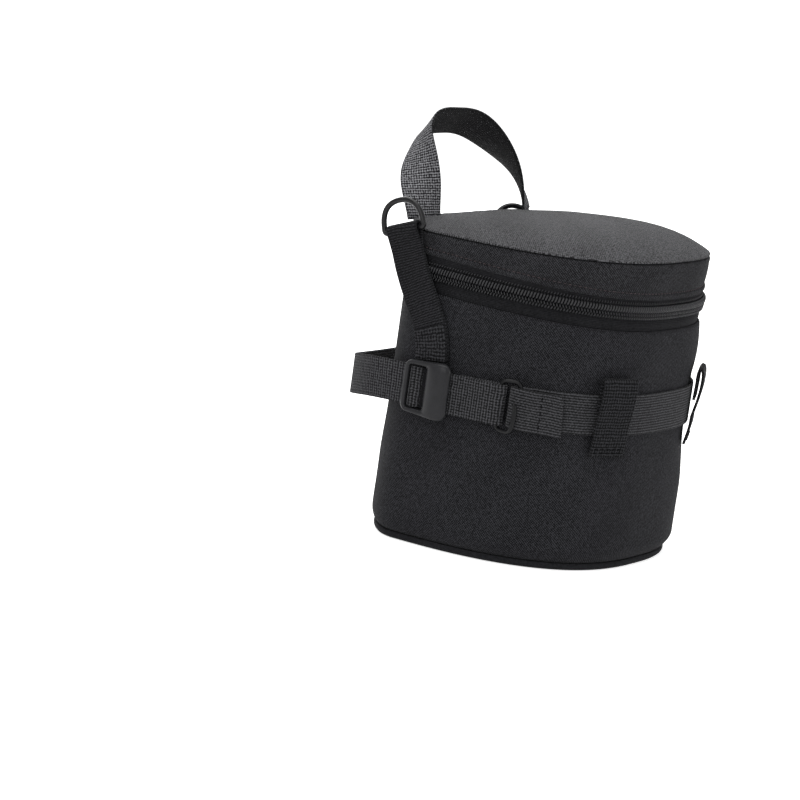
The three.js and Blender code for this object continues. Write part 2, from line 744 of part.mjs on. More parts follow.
function block(length, height, depth, x, y, z) {
  const geometry = new THREE.BoxGeometry(length, height, depth);
  geometry.translate(x, y, z);
  return solid(geometry);
}
// Own axes: x forwards along the strap, y up, z outwards. The rear bar is at -x.
const window_x = -bl + rear_bar + buckle_window / 2;
const bar_x = -bl + rear_bar + centre_bar_setback + centre_bar / 2;
const bar_z = adjuster_out - webbing / 2 - buckle_play - centre_bar_thickness / 2;
const rail = (buckle_rear_height - buckle_window_height) / 2;
const rail_depth = buckle_front + buckle_plate / 2 - (bar_z - centre_bar_thickness / 2);
const rail_z = bar_z - centre_bar_thickness / 2 + rail_depth / 2;
let buckle_body = solid(buckle_plate_solid)
  .subtract(block(buckle_window, buckle_window_height, buckle_plate + 2 * cut_overrun, window_x, 0,
    buckle_front + buckle_plate / 2))
  .add(block(centre_bar, buckle_window_height + rail, centre_bar_thickness, bar_x, 0, bar_z));
for (const side of [-1, 1]) {
  buckle_body = buckle_body.add(block(centre_bar, rail - buckle_bevel, rail_depth, bar_x,
    side * (buckle_window_height + rail - buckle_bevel) / 2, rail_z));
}
const buckle_turn = new THREE.Matrix4().makeBasis(new THREE.Vector3(0, -1, 0), new THREE.Vector3(0, 0, 1),
  new THREE.Vector3(-1, 0, 0));
buckle_turn.setPosition(-wall_side, widest - buckle_ahead, strap_height);
add('ladder_buckle', geometryOf(buckle_body).applyMatrix4(buckle_turn), moulded);

// Attachment loops: short lengths of webbing, folded and sewn over the strap on both sides of the nose
const loop_inner = strap_over + gap;
const loop_profile = [
  [strap_in + gap / 2, loop_low],
  [strap_over + gap / 2, strap_low - gap],
  [loop_inner, strap_low + webbing * 3],
  [(loop_inner + loop_bulge) / 2, strap_height + gap],
  [loop_bulge, strap_top],
  [loop_bulge - gap, loop_high - webbing],
  [(loop_inner + loop_bulge) / 2, loop_high],
  [loop_inner + gap, loop_high - webbing],
  [loop_inner, strap_top - gap],
  [strap_over, strap_height + webbing * 2],
];
function attachmentLoop(side) {
  const frame = wallFrame(side * loop_station);
  const bow = webbing_width * webbing_width / (8 * wall_side);
  const points = loop_profile.map(([out, z]) =>
    frame.point.clone().addScaledVector(frame.out, out + bow).setZ(z));
  const centres = smooth(points, 2.4);
  return strip(centres, centres.map(() => frame.along));
}
add('left_attachment_loop', attachmentLoop(-1), band_cloth);
add('right_attachment_loop', attachmentLoop(1), band_cloth);

// Ring tabs: webbing folded round the bar of a D-ring and sewn flat to the wall at its lower end
const tab_pitch = webbing + gap;
function foldedTab(line, out_at) {
  const top = line.length - 1;
  const direction = line[top].clone().sub(line[top - 1]).normalize();
  const out = out_at[top].clone().addScaledVector(direction, -out_at[top].dot(direction)).normalize();
  const tab_out = tab_gap + webbing / 2;
  const eye = line[top].clone().addScaledVector(out, tab_out + tab_pitch / 2);
  const bar = eye.clone().addScaledVector(direction, tab_eye);
  const inner = line.map((p, i) => p.clone().addScaledVector(out_at[i], tab_out));
  const outer = line.map((p, i) => p.clone().addScaledVector(out_at[i], tab_out + tab_pitch));
  const turn = tab_eye + webbing / 2;
  const round = range(-30, 210, 8).map((degrees) => {
    const angle = THREE.MathUtils.degToRad(degrees);
    return bar.clone().addScaledVector(out, -turn * Math.cos(angle))
      .addScaledVector(direction, turn * Math.sin(angle));
  });
  const across = out.clone().cross(direction);
  const centres = [...inner.slice(0, -1), ...round, ...outer.slice(0, -1).reverse()];
  const widths = centres.map((_, i) => {
    const row = i < top ? i : centres.length - 1 - i;
    if (row >= top) {
      return across;
    }
    const step = line[Math.min(row + 1, top)].clone().sub(line[Math.max(row - 1, 0)]).normalize();
    return out_at[row].clone().cross(step);
  });
  return { geometry: strip(centres, widths, webbing, tab_width), bar, direction, out, across };
}

// Left tab: stands off the wall in a flat plane and leans back
const tab_low = strap_top + tab_clear;
const left_line = smooth(left_tab_run.map(([y, rise, out]) => new THREE.Vector3(-wall_side - out, widest + y,
  tab_low + rise)), tab_step);
const left_tab = foldedTab(left_line, left_line.map(() => new THREE.Vector3(-1, 0, 0)));
add('left_ring_tab', left_tab.geometry, band_cloth);

// Right tab: rises back along the wall and leaves it before the corner
const right_line = smooth(right_tab_run.map(([station, rise, out]) => onWall(station, out, tab_low + rise)),
  tab_step);
const right_last = right_tab_run[right_tab_run.length - 1][0];
const right_outs = range(right_tab_run[0][0], right_last, right_line.length - 1)
  .map((station) => wallFrame(station).out);
const right_tab = foldedTab(right_line, right_outs);
add('right_ring_tab', right_tab.geometry, band_cloth);

// D-rings: round wire, bar through the tab's eye
function dRing(tab) {
  const half = ring_width / 2 - ring_wire;
  const rise = ring_height - 2 * ring_wire;
  const path = new THREE.Path();
  path.moveTo(-half + ring_round, 0);
  path.lineTo(half - ring_round, 0);
  path.quadraticCurveTo(half, 0, half, ring_round);
  path.bezierCurveTo(half, rise * 0.75, half * 0.6, rise, 0, rise);
  path.bezierCurveTo(-half * 0.6, rise, -half, rise * 0.75, -half, ring_round);
  path.quadraticCurveTo(-half, 0, -half + ring_round, 0);
  const points = path.getSpacedPoints(ring_steps).slice(0, -1)
    .map((p) => tab.bar.clone().addScaledVector(tab.across, p.x).addScaledVector(tab.direction, p.y));
  const rings = points.map((p, i) => {
    const before = points[(i + points.length - 1) % points.length];
    const after = points[(i + 1) % points.length];
    const tangent = after.clone().sub(before).normalize();
    const inward = tangent.clone().cross(tab.out).normalize();
    return range(0, 1, wire_sides).slice(0, -1).map((turn) => p.clone()
      .addScaledVector(inward, ring_wire * Math.cos(2 * Math.PI * turn))
      .addScaledVector(tab.out, ring_wire * Math.sin(2 * Math.PI * turn)));
  });
  return loft(rings, true);
}
add('left_d_ring', dRing(left_tab), black_metal);
add('right_d_ring', dRing(right_tab), black_metal);

// Handle: an arch of webbing over the rear of the lid, each foot across its corner and the middle twisted
function handle() {
  const lean = THREE.MathUtils.degToRad(handle_lean);
  const up = new THREE.Vector3(0, Math.sin(lean), Math.cos(lean));
  const flat = new THREE.Vector3(0, -Math.cos(lean), Math.sin(lean));
  const foot = new THREE.Vector3(0, handle_place, handle_base);
  const angles = range(0, Math.PI, handle_steps);
  const power = 2 / handle_fullness;
  const rises = angles.map((angle) => Math.abs(Math.sin(angle)) ** power);
  const centres = angles.map((angle, i) => {
    const c = Math.cos(angle);
    const twice = Math.sin(2 * angle);
    const x = handle_shift - handle_foot * Math.sign(c) * Math.abs(c) ** power - handle_sway * Math.sin(angle)
      + handle_sway_twice * twice;
    return foot.clone().add(new THREE.Vector3(x, handle_push * twice, 0))
      .addScaledVector(up, handle_rise * rises[i]);
  });
  const widths = angles.map((angle, i) => {
    const after = centres[Math.min(i + 1, handle_steps)];
    const tangent = after.clone().sub(centres[Math.max(i - 1, 0)]).normalize();
    const ease = 1 - rises[i] * rises[i] * (3 - 2 * rises[i]);
    const turn = THREE.MathUtils.degToRad(handle_twist * ease + handle_skew * Math.sin(angle)
      + handle_skew_twice * Math.sin(2 * angle));
    return flat.clone().multiplyScalar(Math.cos(turn)).addScaledVector(tangent.cross(flat), Math.sin(turn));
  });
  const middle = handle_foot_height - handle_rise / 2;
  const below = block(case_width, case_depth, handle_rise, 0, handle_place, middle);
  return geometryOf(solid(strip(centres, widths)).subtract(below));
}
add('handle', handle(), band_cloth);

export default pouch;
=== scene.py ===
"""Lens pouch: a padded D-shaped case with a zipped lid, webbing handle, ring tabs and a waist strap.

Sizes are in millimetres in the part's own frame: +Z up, the rounded front towards -Y, the flat back towards
+Y, the buckle at -X. A place on the case is a share of the way from the nose to the middle of the back, or a
station in mm from the nose, both negative on the left, with a margin inside the outline or a reach outside it.
"""

import math

import bpy
import numpy as np
from mathutils import Matrix, Vector


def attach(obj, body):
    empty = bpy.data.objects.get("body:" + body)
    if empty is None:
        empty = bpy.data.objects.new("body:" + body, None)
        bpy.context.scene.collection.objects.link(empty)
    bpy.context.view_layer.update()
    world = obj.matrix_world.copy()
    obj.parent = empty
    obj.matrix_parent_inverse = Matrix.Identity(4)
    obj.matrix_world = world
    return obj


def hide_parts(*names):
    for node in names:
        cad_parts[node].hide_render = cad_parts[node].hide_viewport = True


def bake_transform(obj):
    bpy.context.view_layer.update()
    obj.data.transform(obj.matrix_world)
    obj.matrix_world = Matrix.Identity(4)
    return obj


MM = 0.001
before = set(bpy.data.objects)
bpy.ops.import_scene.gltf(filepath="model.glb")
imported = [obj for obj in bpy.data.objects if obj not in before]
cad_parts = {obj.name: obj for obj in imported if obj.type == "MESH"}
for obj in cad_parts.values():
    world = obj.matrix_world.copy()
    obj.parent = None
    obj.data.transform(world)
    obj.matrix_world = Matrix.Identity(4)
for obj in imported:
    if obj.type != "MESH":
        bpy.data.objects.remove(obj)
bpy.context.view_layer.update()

# Front and side wall: twill cloth sewn round the front and sides over foam. It swells above and below the
# strap, lies flat under it, and turns in at the zip's tape and over the base piping.
HALF_WIDTH, FRONT, REAR = 79.2, 94.3, 32.5
CHORD, CORNER, SMALLEST = 44.2, 7.6, 2.0
CHORD_SHARE, CORNER_SHARE = 0.75, 0.5
FULLNESS = 2.6
BACK = (FRONT + REAR) / 2
NOSE = -BACK
WIDEST = BACK - REAR
MARGIN_STEP = 0.25
SEAM_SHARE = 0.8
SEAM_LOW = 3.4
ROLL_LOW, ROLL_TALL, ROLL_IN = 3.2, 5.2, 1.5
ZIP_BACK, ZIP_DIP = 132.7, 5.2
MOUTH_GAP = 9.5
CLOTH, LEAST_CLOTH = 1.0, 0.15
outlines = {}


def lengths(points):
    """Running length along a line of points."""
    return np.r_[0, np.cumsum(np.linalg.norm(np.diff(points, axis=0), axis=1))]


def outline(margin):
    """Half outline at a margin inside the case, from nose to back: a superellipse round the front, a parabola
    along the flank, a quadratic bend and the straight back. Returns its points and their running length."""
    margin = round(float(margin), 4)
    if margin in outlines:
        return outlines[margin]
    corner_x = CHORD - margin * CHORD_SHARE
    radius = max(CORNER - margin * CORNER_SHARE, SMALLEST)
    back_y, side = BACK - margin, HALF_WIDTH - margin
    t = np.linspace(0, 1, 500) * np.pi / 2
    power = 2 / FULLNESS
    front = np.stack([side * np.sin(t) ** power, WIDEST - (FRONT - margin) * np.cos(t) ** power], 1)
    end = 1 - radius / math.hypot(2 * (side - corner_x), REAR - margin)
    v = np.linspace(0, end, 160)[1:]
    flank = np.stack([side - (side - corner_x) * v * v, WIDEST + (REAR - margin) * v], 1)
    k = np.linspace(0, 1, 60)[1:, None]
    a, b, c = flank[-1], np.array([corner_x, back_y]), np.array([corner_x - radius, back_y])
    bend = (1 - k) ** 2 * a + 2 * k * (1 - k) * b + k * k * c
    line = np.stack([np.linspace(corner_x - radius, 0, 40)[1:], np.full(39, back_y)], 1)
    points = np.concatenate([front, flank, bend, line])
    outlines[margin] = points, lengths(points)
    return outlines[margin]


def at_share(margin, share):
    """Points of the whole outline: the half outline, mirrored where the share is negative."""
    points, run = outline(margin)
    share = np.asarray(share, float)
    s = np.minimum(np.abs(share), 1)
    x = np.interp(s, run / run[-1], points[:, 0])
    y = np.interp(s, run / run[-1], points[:, 1])
    return np.stack([np.where(share < 0, -x, x), y], -1)


GIRTH = outline(0)[1][-1]


def wall(share, margin, z):
    """Points by share, margin and height. A margin between two steps is mixed from their two outlines."""
    share, margin, z = np.broadcast_arrays(*(np.asarray(a, float) for a in (share, margin, z)))
    points = np.zeros(share.shape + (3,))
    points[..., 2] = z
    low = np.floor(margin / MARGIN_STEP) * MARGIN_STEP
    for m in np.unique(low):
        pick = low == m
        near, far = at_share(m, share[pick]), at_share(m + MARGIN_STEP, share[pick])
        points[pick, :2] = near + (far - near) * ((margin[pick] - m) / MARGIN_STEP)[:, None]
    return points


def wall_y(share):
    """Place of the outline from front to back at a share."""
    return at_share(0, share)[..., 1]


def zip_z(y):
    """Height of the zip: ZIP_BACK at the back, less ZIP_DIP times the square of the way forward."""
    return ZIP_BACK - ZIP_DIP * ((BACK - np.asarray(y)) / (BACK - NOSE)) ** 2


def ease(x):
    """Smooth step from 0 to 1: three squares less two cubes."""
    x = np.clip(x, 0, 1)
    return x * x * (3 - 2 * x)


def bump(x, centre, half):
    """1 at the centre, falling by a smooth step to 0 at half each side of it."""
    return ease(1 - np.abs(np.asarray(x) - centre) / half)


def lattice(grid, wrap_u=False, cap=True):
    """Points, faces and map of a grid of points. Its second axis closes on itself, and its first axis closes
    too or has a cap at each end. The map is the running length along the first line and round the middle."""
    n, m = grid.shape[:2]
    i, j = np.meshgrid(np.arange(n if wrap_u else n - 1), np.arange(m), indexing="ij")
    i1, j1 = (i + 1) % n, (j + 1) % m
    faces = np.stack([i * m + j, i1 * m + j, i1 * m + j1, i * m + j1], -1).reshape(-1, 4).tolist()
    if cap and not wrap_u:
        faces += [list(range(m)), list(range((n - 1) * m, n * m))[::-1]]
    uvs = np.stack(np.broadcast_arrays(lengths(grid[:, 0])[:, None], lengths(grid[n // 2])), -1)
    return grid.reshape(-1, 3), faces, uvs.reshape(-1, 2)


def outward(points, faces):
    """Faces turned so that the closed body's volume, the sum of its faces' corner products, is positive."""
    fans = [(f[0], f[k], f[k + 1]) for f in faces for k in range(1, len(f) - 1)]
    a, b, c = points[np.array(fans).T]
    return faces if np.sum(a * np.cross(b, c)) > 0 else [f[::-1] for f in faces]


def make(name, points, faces, uvs, material, body, nodes):
    """Mesh object from points in mm, faces and a corner map in mm. It rides on a body and replaces nodes."""
    mesh = bpy.data.meshes.new(name)
    mesh.from_pydata((points * MM).tolist(), [], faces)
    layer = mesh.uv_layers.new(name="UVMap")
    index = np.zeros(len(mesh.loops), np.int32)
    mesh.loops.foreach_get("vertex_index", index)
    layer.data.foreach_set("uv", uvs[index].ravel())
    mesh.polygons.foreach_set("use_smooth", [True] * len(mesh.polygons))
    mesh.update()
    obj = bpy.data.objects.new(name, mesh)
    bpy.context.scene.collection.objects.link(obj)
    mesh.materials.append(material)
    if body:
        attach(obj, body)
    if nodes:
        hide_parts(*nodes)
    return obj


def solid(name, grid, material, body, nodes, wrap_u=False, uv=None):
    """Closed body from a grid of points, with its own map where one is given."""
    points, faces, uvs = lattice(grid, wrap_u)
    uvs = uvs if uv is None else uv.reshape(-1, 2)
    return make(name, points, outward(points, faces), uvs, material, body, nodes)


class Value:
    """A shader socket with arithmetic."""

    def __init__(self, tree, socket):
        self.tree, self.socket = tree, socket

    def math(self, operation, *others):
        node = self.tree.nodes.new("ShaderNodeMath")
        node.operation = operation
        for k, other in enumerate((self, *others)):
            if isinstance(other, Value):
                self.tree.links.new(other.socket, node.inputs[k])
            else:
                node.inputs[k].default_value = float(other)
        return Value(self.tree, node.outputs[0])

    def __add__(self, other):
        return self.math("ADD", other)

    def __sub__(self, other):
        return self.math("SUBTRACT", other)

    def __mul__(self, other):
        return self.math("MULTIPLY", other)

    def sin(self):
        return self.math("SINE")

    def clamp(self):
        node = self.tree.nodes.new("ShaderNodeClamp")
        self.tree.links.new(self.socket, node.inputs[0])
        return Value(self.tree, node.outputs[0])


def noise(tree, vector, scale, detail):
    """Noise between 0 and 1 at points of a vector socket."""
    node = tree.nodes.new("ShaderNodeTexNoise")
    node.inputs["Scale"].default_value = scale
    node.inputs["Detail"].default_value = detail
    node.inputs["Roughness"].default_value = 0.55
    tree.links.new(vector, node.inputs["Vector"])
    return Value(tree, node.outputs["Fac"])


def start(name):
    """New material, its tree and its shader."""
    material = bpy.data.materials.new(name)
    material.use_nodes = True
    tree = material.node_tree
    return material, tree, tree.nodes["Principled BSDF"]


def finish_surface(tree, shader, colour, shade, height, depth, rough, rough_share=0.0, low=0.3):
    """Colour from low to 2.3 times itself by shade, bump from height by depth in mm, and roughness that
    varies by a share of height."""
    mix = tree.nodes.new("ShaderNodeMix")
    mix.data_type = "RGBA"
    mix.inputs["A"].default_value = (*[c * low for c in colour], 1)
    mix.inputs["B"].default_value = (*[min(c * 2.3, 1) for c in colour], 1)
    tree.links.new(shade.clamp().socket, mix.inputs["Factor"])
    tree.links.new(mix.outputs["Result"], shader.inputs["Base Color"])
    relief = tree.nodes.new("ShaderNodeBump")
    relief.inputs["Strength"].default_value = 1.0
    relief.inputs["Distance"].default_value = depth * MM
    tree.links.new(height.socket, relief.inputs["Height"])
    tree.links.new(relief.outputs["Normal"], shader.inputs["Normal"])
    if rough_share:
        varied = (height * rough_share + (rough - rough_share / 2)).clamp()
        tree.links.new(varied.socket, shader.inputs["Roughness"])
    else:
        shader.inputs["Roughness"].default_value = rough


WARP, FINE, BROAD, SPECKS = (140.0, 2.0), (2600.0, 3.0), (34.0, 4.0), (1150.0, 1.0)
CLOTH_GLOSS, SHEEN_ROUGH = 0.04, 0.5
PAINTED_SHADE_SPLIT = 25.0


def cloth(name, colour, pitch, kind, depth, sheen, rough=0.82, spread=0.5, speck=0.9, painted_face_shade=0.0):
    """Woven cloth on a map in mm. The yarn is a sum and product of waves along the map, warped by noise:
    twill, basket, grid, ribs along or across, or knit. Shade adds fine noise, specks and broad patches to the
    yarn. Painted shade darkens the face of webbing whose map lies below the split, and lowers its darkest
    colour."""
    material, tree, shader = start(name)
    uv = tree.nodes.new("ShaderNodeUVMap")
    uv.uv_map = "UVMap"
    parts = tree.nodes.new("ShaderNodeSeparateXYZ")
    tree.links.new(uv.outputs[0], parts.inputs[0])
    u, face = Value(tree, parts.outputs[0]), Value(tree, parts.outputs[1])
    coordinates = tree.nodes.new("ShaderNodeTexCoord").outputs["Object"]
    warp = noise(tree, coordinates, *WARP)
    u, v = u + warp * 1.1, face + warp * 0.6

    def wave(along, share=1.0):
        return (along * (2 * math.pi / pitch * share)).sin()

    if kind == "twill":
        yarn = wave(u + v) * 0.34 + wave(u - v, 0.97) * 0.2 + wave(v, 2.0) * 0.12
    elif kind == "basket":
        yarn = wave(u) * wave(v) * 0.5 + wave(v, 2.0) * 0.08
    elif kind == "grid":
        yarn = wave(u, 0.94) * 0.34 + wave(v) * 0.26 + wave(u, 0.47) * wave(v) * 0.16
    elif kind == "along":
        yarn = wave(v) * 0.34 + wave(u, 0.8) * wave(v, 0.5) * 0.16
    elif kind == "across":
        yarn = wave(u) * 0.3 + wave(u) * wave(v, 0.62) * 0.26
    else:
        yarn = wave(u) * 0.1 + wave(v) * 0.1
    fine, broad = noise(tree, coordinates, *FINE), noise(tree, coordinates, *BROAD)
    specks = noise(tree, coordinates, *SPECKS)
    height = (yarn + 0.5) * 0.8 + fine * 0.25
    shade = yarn * spread + (fine - 0.5) * 0.5 + (specks - 0.5) * speck + (broad - 0.5) * 0.35 + 0.36
    # Painted shade: the face of webbing whose map lies below the split is darkened, and its darkest colour
    # lowered.
    if painted_face_shade:
        shade = shade + face.math("LESS_THAN", PAINTED_SHADE_SPLIT) * painted_face_shade
    finish_surface(tree, shader, colour, shade, height, depth, rough, low=0.1 if painted_face_shade else 0.3)
    shader.inputs["Sheen Weight"].default_value = sheen
    shader.inputs["Sheen Roughness"].default_value = SHEEN_ROUGH
    shader.inputs["Specular IOR Level"].default_value = CLOTH_GLOSS
    return material


def roll_in(z):
    """How far the cloth turns in over the base piping: the square of the way down from its top."""
    return ROLL_IN * np.clip(1 - (z - ROLL_LOW) / ROLL_TALL, 0, 1) ** 2


def wall_swell(share, z):
    """How far the wall stands out: a belly below the strap, less at the back, a chest above it round the nose,
    and a faint ripple of two crossed waves."""
    station = np.abs(share) * GIRTH
    toward_nose = ease((175 - station) / 120)
    belly = 2.2 * ease((z - ROLL_LOW) / 7.5) * (1 - ease((z - 34) / 31)) * (0.4 + 0.6 * toward_nose)
    arch = np.clip(np.sin(np.pi * np.clip((z - 92) / 26, 0, 1)), 0, 1)
    chest = arch ** 0.9 * ease((95 - station) / 50)
    ripple = 0.16 * np.sin(station / 11.0 + z / 17.0) * np.sin(z / 13.0 + station / 31.0) * bump(z, 32, 26)
    return belly - roll_in(z) + chest + ripple


def panel_sweep(name, shares, low, high, swell, material, body, nodes, rows, tuck, edge=1.3):
    """Cloth round the case from low to high as one closed skin: an outer face that swells and turns in by tuck
    in a quarter round at its edges, and an inner face that stays flat where the outer one stands out."""
    low, high = np.broadcast_to(low, shares.shape)[:, None], np.broadcast_to(high, shares.shape)[:, None]
    z = low + (high - low) * np.linspace(0, 1, rows)[None]
    near = np.minimum(z - low, high - z)
    stands = swell(shares[:, None], z)
    outer = tuck * (1 - np.sqrt(1 - (1 - np.clip(near / edge, 0, 1)) ** 2)) - stands
    inner = np.maximum(CLOTH - np.minimum(stands, 0), outer + LEAST_CLOTH)
    grid = np.concatenate([wall(shares[:, None], outer, z), wall(shares[:, None], inner, z)[:, ::-1]], 1)
    face = np.stack(np.broadcast_arrays(shares[:, None] * GIRTH, z), -1)
    solid(name, grid, material, body, nodes, uv=np.concatenate([face, face[:, ::-1]], 1))


front_shares = np.linspace(-SEAM_SHARE, SEAM_SHARE, 300)
front_y = wall_y(front_shares)
shell_black = cloth("shell_twill", (0.0135, 0.0135, 0.0152), 1.25, "twill", 0.20, 0.02, spread=1.5, speck=2.4)
panel_sweep("wall_cloth", front_shares, SEAM_LOW, zip_z(front_y) - MOUTH_GAP, wall_swell, shell_black, "case",
            ["front_wall"], rows=110, tuck=0.8)

# Back panel: the same twill, sewn flat over the rear foam from the base to the hinge. It bulges a little in
# its middle and turns in over the piping as the wall does.
BACK_TOP, SEAM_PLAY = 150.1, 0.002


def back_swell(share, z):
    """How far the back stands out: a low half wave over its height, faded out towards the side seams."""
    inward = ease((np.abs(share) - 0.82) / 0.12)
    return 0.7 * np.sin(np.pi * np.clip((z - 5) / 140, 0, 1)) ** 0.7 * inward - roll_in(z)


rear_shares = np.linspace(SEAM_SHARE + SEAM_PLAY, 2 - SEAM_SHARE - SEAM_PLAY, 110)
rear_shares = np.where(rear_shares > 1, rear_shares - 2, rear_shares)
panel_sweep("back_cloth", rear_shares, SEAM_LOW, BACK_TOP, back_swell, shell_black, "case", ["back_panel"],
            rows=90, tuck=0.7)

# Base panel: a flat D of twill, sewn to the wall all round through the piping. The pouch stands on it, and a
# stiff board lies above it.
CROWN_TILT = 0.85 / 60


def flat_rows(scales, z):
    """Rows of a flat stretch of a panel's profile."""
    return [(s, z, 0) for s in scales]


def dome(name, margin, profile, material, body, nodes, ripple=None):
    """Panel with the outline's shape. Each row of the profile is the outline at (margin - outset), scaled
    about the middle, at height plus rise, and the rows run from the middle over the top to the edge and back
    below. The rise is greatest at the nose."""
    ring = np.linspace(-1, 1, 300, endpoint=False)
    centre = np.array([0.0, WIDEST / 2])
    rows = []
    for scale, z, outset, *rise in profile:
        flat = centre + (at_share(round(margin - outset, 2), ring) - centre) * scale
        height = z + sum(rise) * (1 - CROWN_TILT * (flat[:, 1] - centre[1]))
        if ripple is not None:
            height = height + ripple(ring, scale, flat)
        rows.append(np.concatenate([flat, height[:, None]], 1))
    grid = np.array(rows)
    n, m = grid.shape[:2]
    points, faces, _ = lattice(grid, cap=False)
    top = len(points)
    points = np.concatenate([points, [grid[0].mean(0)], [grid[-1].mean(0)]])
    for j in range(m):
        k = (j + 1) % m
        faces += [[top, j, k], [top + 1, (n - 1) * m + k, (n - 1) * m + j]]
    return make(name, points, outward(points, faces), points[:, :2], material, body, nodes)


base_rows = flat_rows((0.05, 0.4, 0.8, 0.97, 1.0), 1.0) + flat_rows((1.0, 0.97, 0.6, 0.05), 0.0)
dome("base_cloth", 1.9, base_rows, shell_black, "case", ["base_panel"])

# Base piping: a cord in a strip of plain cloth, sewn in between the wall and the base panel all round. Its
# section is an ellipse carried along the outline.
PIPE_IN, PIPE_Z, PIPE_HALF, PIPE_TALL = 1.75, 1.8, 0.85, 1.5
cord_shares = np.linspace(-1, 1, 420, endpoint=False)[:, None]
cord_turn = np.linspace(0, 2 * np.pi, 14, endpoint=False)
cord = wall(cord_shares, PIPE_IN + PIPE_HALF * np.cos(cord_turn), PIPE_Z + PIPE_TALL * np.sin(cord_turn))
piping_black = cloth("piping_cloth", (0.0125, 0.0125, 0.0140), 0.9, "basket", 0.12, 0.02)
solid("piping_cord", cord, piping_black, "case", ["base_piping"], wrap_u=True)

# Padding of the case: a ring of foam behind the front wall and the back, from the base to under the zip. The
# piece stands for the base board too, which the lining's floor hides.
FOAM_LOW, PAD_GAP = 7.6, 12.3
BACK_SHARE = 0.825
whole_shares = np.linspace(-1, 1, 240, endpoint=False)


def section_sweep(name, shares, section, material, body, nodes, closes=False):
    """Solid along the wall from a section of (margin, height) corners. Each corner is cut back along both of
    its edges, and a third point half way to the corner rounds it."""
    rows = []
    for share in shares:
        corners = np.array(section(float(wall_y(share)), float(share)), float)
        to_ahead, to_behind = np.roll(corners, -1, 0) - corners, np.roll(corners, 1, 0) - corners
        ahead = np.linalg.norm(to_ahead, axis=1, keepdims=True)
        behind = np.linalg.norm(to_behind, axis=1, keepdims=True)
        cut = np.minimum(0.35, np.minimum(ahead, behind) * 0.3)
        a, b = corners + to_behind / behind * cut, corners + to_ahead / ahead * cut
        rows.append(np.stack([a, (a + b) / 4 + corners / 2, b], 1).reshape(-1, 2))
    rows = np.array(rows)
    grid = wall(np.asarray(shares)[:, None], rows[..., 0], rows[..., 1])
    return solid(name, grid, material, body, nodes, wrap_u=closes)


def layer(near, far, below_back):
    """Upright section of a layer between two margins. It ends under the zip, and at the back by the hinge."""
    def section(y, share):
        top = BACK_TOP - below_back if abs(share) > BACK_SHARE else zip_z(y) - PAD_GAP
        return [(near, FOAM_LOW), (near, top), (far, top), (far, FOAM_LOW)]
    return section


foam_grey = cloth("foam", (0.045, 0.045, 0.05), 2.2, "knit", 0.08, 0.1, rough=0.98)
padding = section_sweep("wall_padding", whole_shares, layer(2.4, 7.7, 0.2), foam_grey, "case",
                        ["front_foam", "back_foam", "base_board"], closes=True)

# Lining of the case: soft brushed cloth inside the foam, with a floor of the same cloth over the base board.
# It is sewn in at the mouth, under the binding.
inner_grey = cloth("lining_brushed", (0.10, 0.105, 0.115), 0.7, "knit", 0.10, 0.5, rough=0.95)
section_sweep("lining_cloth", whole_shares, layer(8.1, 8.8, 0.1), inner_grey, "case", ["lining"],
              closes=True)
floor_rows = flat_rows((0.05, 0.5, 0.9, 1.0), 8.5) + flat_rows((1.0, 0.9, 0.05), 7.7)
dome("lining_floor", 8.9, floor_rows, inner_grey, "case", [])


# Mouth binding: a strip of plain cloth folded over the top edges of the foam and the lining, just inside the
# lower zip tape. It stops short of the hinge at both ends.
def binding_section(y, share):
    """Six corners: both feet 2.5 below the top, and shoulders 0.4 below it."""
    top = zip_z(y) - MOUTH_GAP
    return [(2.5, top - 2.5), (2.4, top - 0.4), (3.2, top), (8.0, top), (8.9, top - 0.4), (8.9, top - 2.5)]


section_sweep("mouth_binding_tape", front_shares[4:-4], binding_section, piping_black, "case",
              ["mouth_binding"])

# Lid's top panel: a D of twill over padding, crowned in the middle. It pulls in along its seam to the band,
# with faint ripples beside the seam.
SEAM_Z, CROWN, CROWN_POWER = 152.0, 7.5, 3.4


def lid_ripple(ring, scale, flat):
    """Two crossed waves near the seam, by a bell curve of the scale, and two broad ones over the middle."""
    near = math.exp(-((1 - scale) / 0.16) ** 2) if scale < 0.995 else 0.0
    broad = 0.18 * np.sin(flat[:, 0] / 19) * np.cos(flat[:, 1] / 23) * min(1.0, (1 - scale) * 8)
    return 0.22 * near * np.sin(ring * 97) * np.sin(ring * 31 + 1.0) + broad


def crown(scale):
    """Rise of the lid: flat in the middle, falling with a power of the scale to the seam."""
    return CROWN * (1 - scale ** CROWN_POWER)


scales = (0.02, 0.1, 0.2, 0.3, 0.4, 0.5, 0.58, 0.66, 0.73, 0.8, 0.86, 0.9, 0.935, 0.96, 0.978, 0.99, 0.998)
top_rows = [(s, SEAM_Z + 0.5, 0, crown(s)) for s in scales]
edge_rows = ((152.4, 0.22), (152.05, 0.42), (151.65, 0.3), (151.5, -0.4), (151.45, -1.2))
top_rows += [(1.0, z, outset) for z, outset in edge_rows]
top_rows += [(s, SEAM_Z - 0.5, 0, crown(s) - 0.05) for s in (0.97, 0.9, 0.8, 0.6, 0.3, 0.02)]
# Painted light: the lid's twill is the wall's cloth, painted paler where the overhead lamp lights the top.
lid_painted_lit = cloth("lid_twill_painted_lit", (0.0375, 0.0375, 0.0396), 1.25, "twill", 0.24, 0.05, spread=2.0, speck=3.4)
dome("lid_cloth", 0.3, top_rows, lid_painted_lit, "lid", ["lid_top"], ripple=lid_ripple)

# Lid's side band: twill sewn to the top panel above and to the zip's upper tape below, where it is folded
# under and stitched. The folded edge stands up as a welt, with a groove over it.
EDGE_NOSE, EDGE_GAIN = 5.6, 2.9
BAND_TOP = 151.1
WELT, WELT_TALL, GROOVE_Z = 0.75, 3.1, 3.3


def band_edge(y):
    """Height of the band's lower edge: above the zip by a gap that grows evenly from nose to back."""
    return zip_z(y) + EDGE_NOSE + EDGE_GAIN * (np.asarray(y) - NOSE) / (BACK - NOSE)


